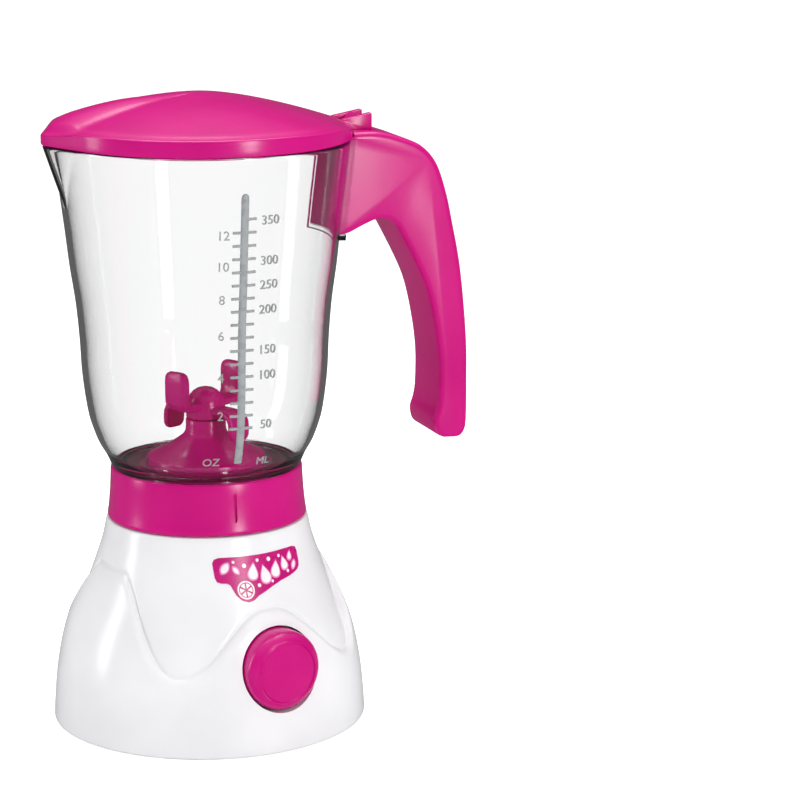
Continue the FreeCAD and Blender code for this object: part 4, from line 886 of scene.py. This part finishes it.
scaleMarks = {
    "low": 95.4, "high": 184.6, "step": 2.0, "half": 1.3, "rise": 0.85, "sunk": 0.06,
    "tickLow": 107.9, "tickStep": 4.36, "ticks": 17, "reach": 3.9, "tickHalf": 0.45, "tickRise": 0.6,
    "topTickFrom": 0.2,
    "letters": 4.3, "letterDepth": 0.25, "letterLift": 0.2,
    "right": [("350", 176.8), ("300", 163.5), ("250", 155.5), ("200", 147.2), ("150", 133.7), ("100", 125.3),
              ("50", 108.5)],
    "left": [("12", 172.3), ("10", 162.1), ("8", 151.1), ("6", 139.1), ("4", 125.1), ("2", 112.3)],
    "rightX": 8.8, "leftX": -6.9, "signs": [("OZ", -8.9, 96.0, 0.9), ("ML", 8.9, 95.3, 0.9)]}


def scaleBar():
    # half-round bar with a domed top, and short ticks across it
    half, rise, low, high = (scaleMarks[k] for k in ("half", "rise", "low", "high"))
    count = int((high - low) / scaleMarks["step"])
    steps = [(low + (high - low) * i / count, 1.0) for i in range(count + 1)]
    steps += [(high + half * math.sin(a), math.cos(a)) for a in (0.5, 0.9, 1.25, 1.45)]
    bar = growAlong("scaleBar", [((0, 0, z), (half * k, 0, 0), (0, -rise * k, 0)) for z, k in steps], 24, 2.0)
    for index in range(scaleMarks["ticks"]):
        z = scaleMarks["tickLow"] + index * scaleMarks["tickStep"]
        left = -scaleMarks["reach"] if index < scaleMarks["ticks"] - 1 else scaleMarks["topTickFrom"]
        tick = addBlock("tick", (left, -scaleMarks["tickRise"], z - scaleMarks["tickHalf"]),
                        (scaleMarks["reach"], scaleMarks["sunk"], z + scaleMarks["tickHalf"]), 0.22, 3)
        boolean(bar, tick, "UNION")
    onWall(bar)
    # the bar's grey colour is painted shade, not a frosted finish
    return finishPiece(bar, "raisedScaleBar", paintedShadeStyrene, "jar")


def flatWords(words, size, depth, x, z):
    # raised lettering, centred, upright and facing the front
    text = addNew(bpy.ops.object.text_add, words)
    text.data.body = words
    text.data.size = size
    text.data.extrude = depth
    text.data.bevel_depth = 0.0
    text.data.resolution_u = 4
    text.data.align_x, text.data.align_y = "CENTER", "CENTER"
    bpy.ops.object.convert(target="MESH")
    piece = bpy.context.object
    piece.location = (x, 0, z)
    piece.rotation_euler = (math.pi / 2, 0, 0)
    settle(piece)
    cleanMesh(piece, 0.001)
    return piece


def scaleFigures():
    size, depth, lift = (scaleMarks[k] for k in ("letters", "letterDepth", "letterLift"))
    figures = []
    for side, x in (("right", scaleMarks["rightX"]), ("left", scaleMarks["leftX"])):
        for words, z in scaleMarks[side]:
            figures.append(flatWords(words, size, depth, x, z))
    for words, x, z, share in scaleMarks["signs"]:
        figures.append(flatWords(words, size * share, depth, x, z))
    piece = joinPieces(*figures)
    onWall(piece, 0.0, lift)
    # the figures take the same painted grey shade as the bar
    return finishPiece(piece, "scaleFigures", paintedShadeStyrene, "jar")


rootFrame = {"half": 14.9, "pocket": 13.1, "low": 163.0, "high": 196.5, "pocketLow": 164.4, "rise": 2.2,
             "sunk": 1.0, "edge": 0.4}


def clearRootFrame():
    # a U round the handle's root, proud of the jar's wall
    half, rise = rootFrame["half"], rootFrame["rise"]
    frame = addBlock("rootFrame", (-half, -rise, rootFrame["low"]),
                     (half, rootFrame["sunk"], rootFrame["high"]), 0, 7)
    pocket = addBlock("pocket", (-rootFrame["pocket"], -rise - 2, rootFrame["pocketLow"]),
                      (rootFrame["pocket"], 3, rootFrame["high"] + 4), 0, 6)
    boolean(frame, pocket, "DIFFERENCE")
    softenEdges(frame, rootFrame["edge"])
    onWall(frame, math.pi / 2)
    return frame


def clearJar():
    piece = jarShell()
    boolean(piece, clearRootFrame(), "UNION")
    return finishPiece(piece, "clearJar", clearStyrene, "jar", ["jar"], 32)


clearJar()
scaleBar()
scaleFigures()


# blade seat: a bell on three legs that stands up through the jar's floor

seat = {
    "outline": [(22.5, 84.3), (22.7, 84.5), (22.7, 86.1), (22.5, 86.28), (19.8, 86.28), (19.8, 90.3),
                (19.6, 90.8), (19.0, 91.15), (17.2, 91.7), (14.6, 92.9), (12.2, 94.3), (10.0, 95.8),
                (8.4, 97.0), (7.4, 98.0), (6.9, 99.1), (6.75, 100.5), (6.75, 102.6), (6.6, 103.0),
                (6.2, 103.2), (2.05, 103.2), (2.05, 94.9), (4.75, 94.9), (17.8, 89.0), (17.8, 84.3)],
    "legCircle": 14.0, "legTurns": (30, 150, 270), "leg": 3.0, "legLow": 80.31, "legHigh": 91.0,
    "pilot": 1.51, "pilotHigh": 86.3}


def bladeSeat():
    piece = turnedPiece("bladeSeat", seat["outline"], 160, closed=True)
    low = seat["legLow"]
    for spot in onCircle(seat["legCircle"], seat["legTurns"]):
        boolean(piece, roundBar("leg", seat["leg"], low, seat["legHigh"], spot, 48, True), "UNION")
        drill(piece, seat["pilot"], low - 1, seat["pilotHigh"], spot, 48, True)
    return finishPiece(piece, "magentaBladeSeat", magentaAbs, "jar", ["blade_seat"])


bladeSeat()


# rotor: a domed hub with two raised and two drooping paddles

rotor = {
    "hub": [(2.02, 103.5), (6.3, 103.5), (6.6, 103.8), (6.6, 107.2), (6.45, 108.6), (6.0, 110.0), (5.2, 111.3),
            (4.1, 112.4), (2.8, 113.2), (1.4, 113.6), (0, 113.7), (0, 109.6), (2.02, 109.6)],
    "bore": (2.02, 100, 109.6), "turn": -62.5,
    # each paddle: (radius, height) along its middle, half width, half thickness
    "raised": [((4.5, 108.0), 4.0, 1.3), ((8.5, 108.0), 4.0, 1.3), ((10.4, 108.1), 4.4, 1.35),
               ((12.0, 108.8), 4.9, 1.5), ((12.9, 110.2), 5.0, 1.6), ((13.0, 112.5), 5.0, 1.6),
               ((13.0, 117.0), 5.0, 1.6), ((13.0, 118.8), 4.8, 1.55), ((13.0, 120.0), 4.1, 1.4),
               ((13.0, 120.6), 3.1, 1.0), ((13.0, 120.75), 2.2, 0.5)],
    "drooping": [((4.5, 106.4), 3.4, 1.3), ((9.5, 106.4), 3.6, 1.25), ((12.6, 106.2), 4.0, 1.2),
                 ((14.6, 105.3), 4.3, 1.2), ((15.4, 103.6), 4.3, 1.2), ((15.6, 101.0), 4.3, 1.2),
                 ((15.6, 99.2), 4.1, 1.15), ((15.6, 98.2), 3.5, 1.0), ((15.6, 97.6), 2.6, 0.8),
                 ((15.6, 97.45), 1.8, 0.4)]}


def paddleAlong(name, steps, turn):
    # a strip that follows its middle line out from the hub and round its bend
    out = Vector((math.sin(turn), -math.cos(turn), 0))
    side = Vector((math.cos(turn), math.sin(turn), 0))
    sections = []
    for index, ((radius, height), half, thick) in enumerate(steps):
        before = Vector(steps[max(index - 1, 0)][0])
        after = Vector(steps[min(index + 1, len(steps) - 1)][0])
        way = (after - before).normalized()
        normal = out * -way.y + Vector((0, 0, way.x))
        sections.append((out * radius + Vector((0, 0, height)), side * half, normal * thick))
    return growAlong(name, sections, 32, 4.0)


def bladeRotor():
    piece = turnedPiece("rotor", rotor["hub"], 96, closed=True)
    for index, kind in enumerate(("raised", "drooping", "raised", "drooping")):
        paddle = paddleAlong(kind, rotor[kind], math.radians(rotor["turn"] + 90 * index))
        boolean(piece, paddle, "UNION")
    drill(piece, *rotor["bore"], corners=48, upright=True)
    return finishPiece(piece, "magentaBladeRotor", magentaAbs, "blades", ["blade_rotor"])


bladeRotor()


# handle: an open D with rounded edges, a let-in cover on its far side and a knuckle for the lid

handle = {
    "half": 13.0, "edge": 2.0, "edgeSteps": 5,
    "root": [(41.3, 164.5), (41.3, 198.6)],
    "outer": [(49.0, 198.6), (56.2, 198.5), (61.0, 197.7), (65.3, 196.4), (69.4, 194.9), (73.2, 192.9),
              (76.8, 189.4), (79.6, 184.4), (82.3, 175.8), (84.2, 167.0), (87.0, 152.5), (88.8, 136.5),
              (89.7, 123.0), (89.8, 112.0), (89.7, 98.0), (89.0, 93.9), (87.6, 92.1), (85.6, 91.6)],
    "inner": [(81.6, 91.8), (79.3, 92.9), (78.0, 94.9), (77.6, 98.5), (78.8, 102.5), (79.5, 108.0),
              (79.5, 119.4), (78.0, 131.0), (75.3, 143.0), (71.6, 152.0), (65.2, 164.3), (63.2, 167.0),
              (60.9, 168.5), (57.1, 168.9), (52.4, 167.2), (47.9, 165.1)],
    "bowlGap": 0.12, "lidRoom": 50.45, "lidRoomLow": 197.15,
    "hinge": (53.5, 200.6), "earRoom": (5.95, 6.6), "knuckle": (2.9, 3.2), "knuckleLow": 191.6,
    # rounded beyond this x, cut to the bowl between these heights, and the cover's limits as (x, z)
    "pin": 1.11, "roundFrom": 47.0, "bowl": (150, 215),
    "coverInset": 2.2, "coverDepth": 2.02, "coverFrom": (64.0, 80), "coverTo": (100, 197.8),
    "coverGap": 0.12, "coverSunk": 0.02, "coverEdge": 0.22,
    # room for a screw's head and its shank: radius, start and corners
    "screws": [(84.65, 112.6), (72.8, 178.6)], "screwRooms": ((1.92, 12.0, 64), (1.12, 9.0, 48))}


def insetOutline(outline, inset):
    # an outline moved inwards by the same distance all round
    moved = []
    for before, spot, after in zip(outline[-1:] + outline[:-1], outline, outline[1:] + outline[:1]):
        way = Vector((after[0] - before[0], after[1] - before[1])).normalized()
        moved.append((spot[0] + way.y * inset, spot[1] - way.x * inset))
    return moved


def handleOutline():
    return handle["root"] + smoothRun(handle["outer"], 4) + smoothRun(handle["inner"], 4)


def coverPlate(gap, low, high):
    # the handle's outline, drawn in and cut off short of its root
    plate = plateFrom("coverPlate", insetOutline(handleOutline(), handle["coverInset"] + gap), low, high)
    (left, under), (right, over) = handle["coverFrom"], handle["coverTo"]
    room = addBlock("room", (left + gap, low - 1, under), (right, high + 1, over - gap))
    boolean(plate, room, "INTERSECT")
    return plate


def toyHandle():
    outline = handleOutline()
    half = handle["half"]
    piece = plateFrom("handle", outline, -half, half)
    pick(piece)
    editMode()
    selectWhere("EDGE", lambda edge: abs(edge.verts[0].co.y - edge.verts[1].co.y) < 1e-6
                and min(corner.co.x for corner in edge.verts) > handle["roundFrom"])
    bpy.ops.mesh.bevel(offset=handle["edge"], segments=handle["edgeSteps"], affect="EDGES")
    editMode(False)
    room, low = handle["lidRoom"], handle["lidRoomLow"]
    gap, (under, over) = handle["bowlGap"], handle["bowl"]
    bowl = [(0, under)] + [(r + gap, z) for r, z in wallLine if under < z < low]
    bowl += [(along(wallLine, low) + gap, low), (room, low), (room, over), (0, over)]
    boolean(piece, turnedPiece("bowl", bowl, 160), "DIFFERENCE")
    boolean(piece, coverPlate(0.0, half - handle["coverDepth"], half + 1), "DIFFERENCE")
    x, z = hinge = handle["hinge"]
    radius, width = handle["earRoom"]
    drill(piece, radius, -width, width, hinge)
    radius, width = handle["knuckle"]
    knuckle = roundBar("knuckle", radius, -width, width, hinge)
    stem = addBlock("stem", (x - radius, -width, handle["knuckleLow"]), (x + radius, width, z))
    boolean(knuckle, stem, "UNION")
    boolean(piece, knuckle, "UNION")
    drill(piece, handle["pin"], -width - 1, width + 1, hinge, 32)
    return finishPiece(piece, "magentaHandle", magentaAbs, "jar", ["handle"])


def handleCover():
    half = handle["half"]
    sunk = handle["coverSunk"]
    piece = coverPlate(handle["coverGap"], half - handle["coverDepth"] + sunk, half - sunk)
    softenEdges(piece, handle["coverEdge"], 2)
    for spot in handle["screws"]:
        for radius, start, corners in handle["screwRooms"]:
            drill(piece, radius, start, half + 1, spot, corners)
    return finishPiece(piece, "magentaHandleCover", magentaAbs, "jar", ["handle_cover"])


toyHandle()
handleCover()


# lid: a low dome on an upright band, with a creased wedge towards the spout and two hinge ears

lid = {
    "radius": 49.8, "low": 197.8, "wall": 2.0, "corners": 320, "top": 212.8,
    "bandFront": 203.3, "bandHinge": 201.2, "bandSpout": 201.4, "round": 0.7,
    "spoutReach": 54.9, "spoutHalf": 24.0, "spoutTip": 1.8,
    # powers of the dome's curve, and how far round, in degrees, it and the band's top take to change
    "powerFront": 1.6, "powerHinge": 1.5, "hingeSpread": 110.0, "hingeBlend": 80, "spoutBlend": 26,
    "crease": 18.0, "ridge": 0.12, "ridgeWidth": 0.02, "ridgeStart": 10, "shoulder": 0.93,
    # rings by their share of the radius, and the share within which the underside has them too
    "rings": (0.982, 0.965, 0.945, 0.92, 0.89, 0.86, 0.82, 0.78, 0.73, 0.68, 0.62, 0.56, 0.5, 0.43, 0.36,
              0.29, 0.22, 0.16, 0.1, 0.05, 0.02), "underFrom": 0.89,
    # height of the wedge's middle line by distance from the axis
    "wedge": [(212.8, 0.0), (212.7, 6.0), (212.4, 13.0), (211.7, 25.0), (210.2, 34.0), (208.5, 41.0),
              (207.2, 45.0), (205.1, 49.4), (203.2, 52.6), (201.2, 54.9)],
    "bandSteps": (0.0, 0.35, 0.7, 1.0), "roundSteps": (0.35, 0.75, 1.15), "bandLow": 0.6, "ringEdge": 0.3,
    "ring": (46.8, 44.8), "ringLow": 196.5, "ringEnd": 38.0, "underTop": 200.6,
    "ears": (3.5, 6.3), "earStart": 47.0, "earEnd": 57.5, "earLow": 198.1, "earHigh": 204.1, "earSlope": 10.0,
    "earEdge": 0.45,
    "hinge": (53.5, 200.6), "pin": (1.15, -5.3, 5.3), "middle": 1.1}
wedgeLine = smoothRun(lid["wedge"], 4)


def lidEdge(turn, inset=0.0):
    # plan radius of the lid: round, with a straight-sided point over the spout
    radius = lid["radius"] - inset
    away = fromSpout(turn)
    half = math.radians(lid["spoutHalf"])
    if away < half + 0.02:
        side = (radius * math.cos(half), radius * math.sin(half))
        radius = max(radius, spoutRadius(away, lid["spoutReach"] - inset * 1.2, side, lid["spoutTip"]))
    return radius


def blend(low, high, share):
    return low + (high - low) * softShare(share)


def sideTop(turn):
    # the band's top without its dip at the spout
    fromHinge = 180 - math.degrees(fromSpout(turn))
    return blend(lid["bandHinge"], lid["bandFront"], fromHinge / lid["hingeBlend"])


def bandTop(turn):
    # the band is lower at the hinge and at the spout
    away = math.degrees(fromSpout(turn))
    return min(sideTop(turn), blend(lid["bandSpout"], lid["bandFront"], away / lid["spoutBlend"]))


def lidHeight(radius, turn):
    # the dome, and the wedge raised on it between the creases
    degrees = math.degrees(fromSpout(turn))
    power = blend(lid["powerHinge"], lid["powerFront"], (180 - degrees) / lid["hingeSpread"])
    edge = sideTop(turn)
    dome = edge + (lid["top"] - edge) * (1 - (radius / lid["radius"]) ** power)
    away = degrees / lid["crease"]
    if away < 1:
        dome += (along(wedgeLine, radius) - dome) * (1 - away ** 2)
    if abs(away - 1) < lid["ridgeWidth"]:
        dome += lid["ridge"] * softShare(radius / lid["ridgeStart"])
    return dome


def topRing(share):
    def place(turn):
        radius = share * lidEdge(turn)
        height = lidHeight(radius, turn)
        near = softShare((share - lid["shoulder"]) / (1 - lid["shoulder"]))
        return radius, height * (1 - near) + min(height, bandTop(turn)) * near
    return place


def underRing(share):
    radius = share * lid["radius"]
    return lambda turn: (radius, lidHeight(radius, turn) - lid["wall"])


def closeMiddle(piece):
    # the rings end just short of the axis: take out the wall between them and fill both sides
    pick(piece)
    editMode()
    selectWhere("FACE", lambda face: face.calc_center_median().xy.length < lid["middle"])
    bpy.ops.mesh.delete(type="FACE")
    selectAll()
    bpy.ops.mesh.fill_holes(sides=0)
    editMode(False)


def toyLid():
    low, wall, corner = lid["low"], lid["wall"], lid["round"]
    outer, inner = lid["ring"]

    def ringFoot(radius, height):
        # the inner ring stops short of the hinge
        short = lid["underTop"] - 0.05
        return lambda turn: (radius, height if radius * math.sin(turn) < lid["ringEnd"] else short)

    def edgeRing(inset, height):
        return lambda turn: (lidEdge(turn, inset), height)

    foot, cut = lid["ringLow"], lid["ringEdge"]
    rules = [lambda turn: (inner, lidHeight(inner, turn) - wall), ringFoot(inner, foot + cut),
             ringFoot(inner + cut, foot), ringFoot(outer - cut, foot), ringFoot(outer, foot + cut),
             (outer, lid["underTop"] - 0.02), edgeRing(wall, lid["underTop"]), edgeRing(wall, low + 0.2),
             edgeRing(wall - 0.2, low), edgeRing(0.25, low), edgeRing(0.05, low + 0.25)]
    start = low + lid["bandLow"]
    rules += [lambda turn, k=k: (lidEdge(turn), start + k * (bandTop(turn) - corner - start))
              for k in lid["bandSteps"]]
    rules += [lambda turn, a=a: (lidEdge(turn) - corner * (1 - math.cos(a)),
                                 bandTop(turn) - corner * (1 - math.sin(a))) for a in lid["roundSteps"]]
    rules += [topRing(share) for share in lid["rings"]]
    rules += [underRing(share) for share in reversed(lid["rings"]) if share < lid["underFrom"]]
    piece = growRings("lid", rules, lid["corners"])
    bridgeEnds(piece)
    closeMiddle(piece)
    near, far = lid["earStart"], lid["earEnd"]
    under, over, slope = lid["earLow"], lid["earHigh"], math.tan(math.radians(lid["earSlope"]))
    for side in (-1, 1):
        first, last = sorted(side * width for width in lid["ears"])
        ear = addBlock("ear", (near, first, under), (far, last, over), lid["earEdge"])
        moveCorners(ear, lambda x, y, z: (x, y, z - (far - x) * slope * (z - under) / (over - under)))
        boolean(piece, ear, "UNION")
    drill(piece, *lid["pin"], lid["hinge"], 32)
    return finishPiece(piece, "magentaLid", magentaAbs, "lid", ["lid"])


toyLid()


# return spring: a copy of its coil, in drawn spring steel

def returnSpring():
    pick(frame["nodes"]["return_spring"])
    bpy.ops.object.duplicate()
    piece = bpy.context.object
    for key in list(piece.keys()):
        del piece[key]
    bpy.ops.object.parent_clear(type="CLEAR_KEEP_TRANSFORM")
    settle(piece)
    piece.name = "drawnReturnSpring"
    piece.data.materials.clear()
    piece.data.materials.append(springSteel)
    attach(piece, "base")
    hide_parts("return_spring")
    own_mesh(piece)


returnSpring()


# carried-over solids, each with the finish of its real material
carried = {
    whiteAbs: ["bottom_cover"],
    naturalNylon: ["gearbox_tray", "gearbox_plate", "step_gear", "drive_pinion", "drive_dog", "button_slider",
                   "driven_cup", "deck_bush"],
    zincSteel: ["cover_screws", "gearbox_screws", "seat_screws", "handle_screws", "gear_axle", "drive_shaft",
                "blade_shaft", "shaft_clip", "hinge_pin"],
}
for material, nodes in carried.items():
    for node in nodes:
        mesh = frame["nodes"][node].data
        mesh.materials.clear()
        mesh.materials.append(material)
print("carried-over solids finished")
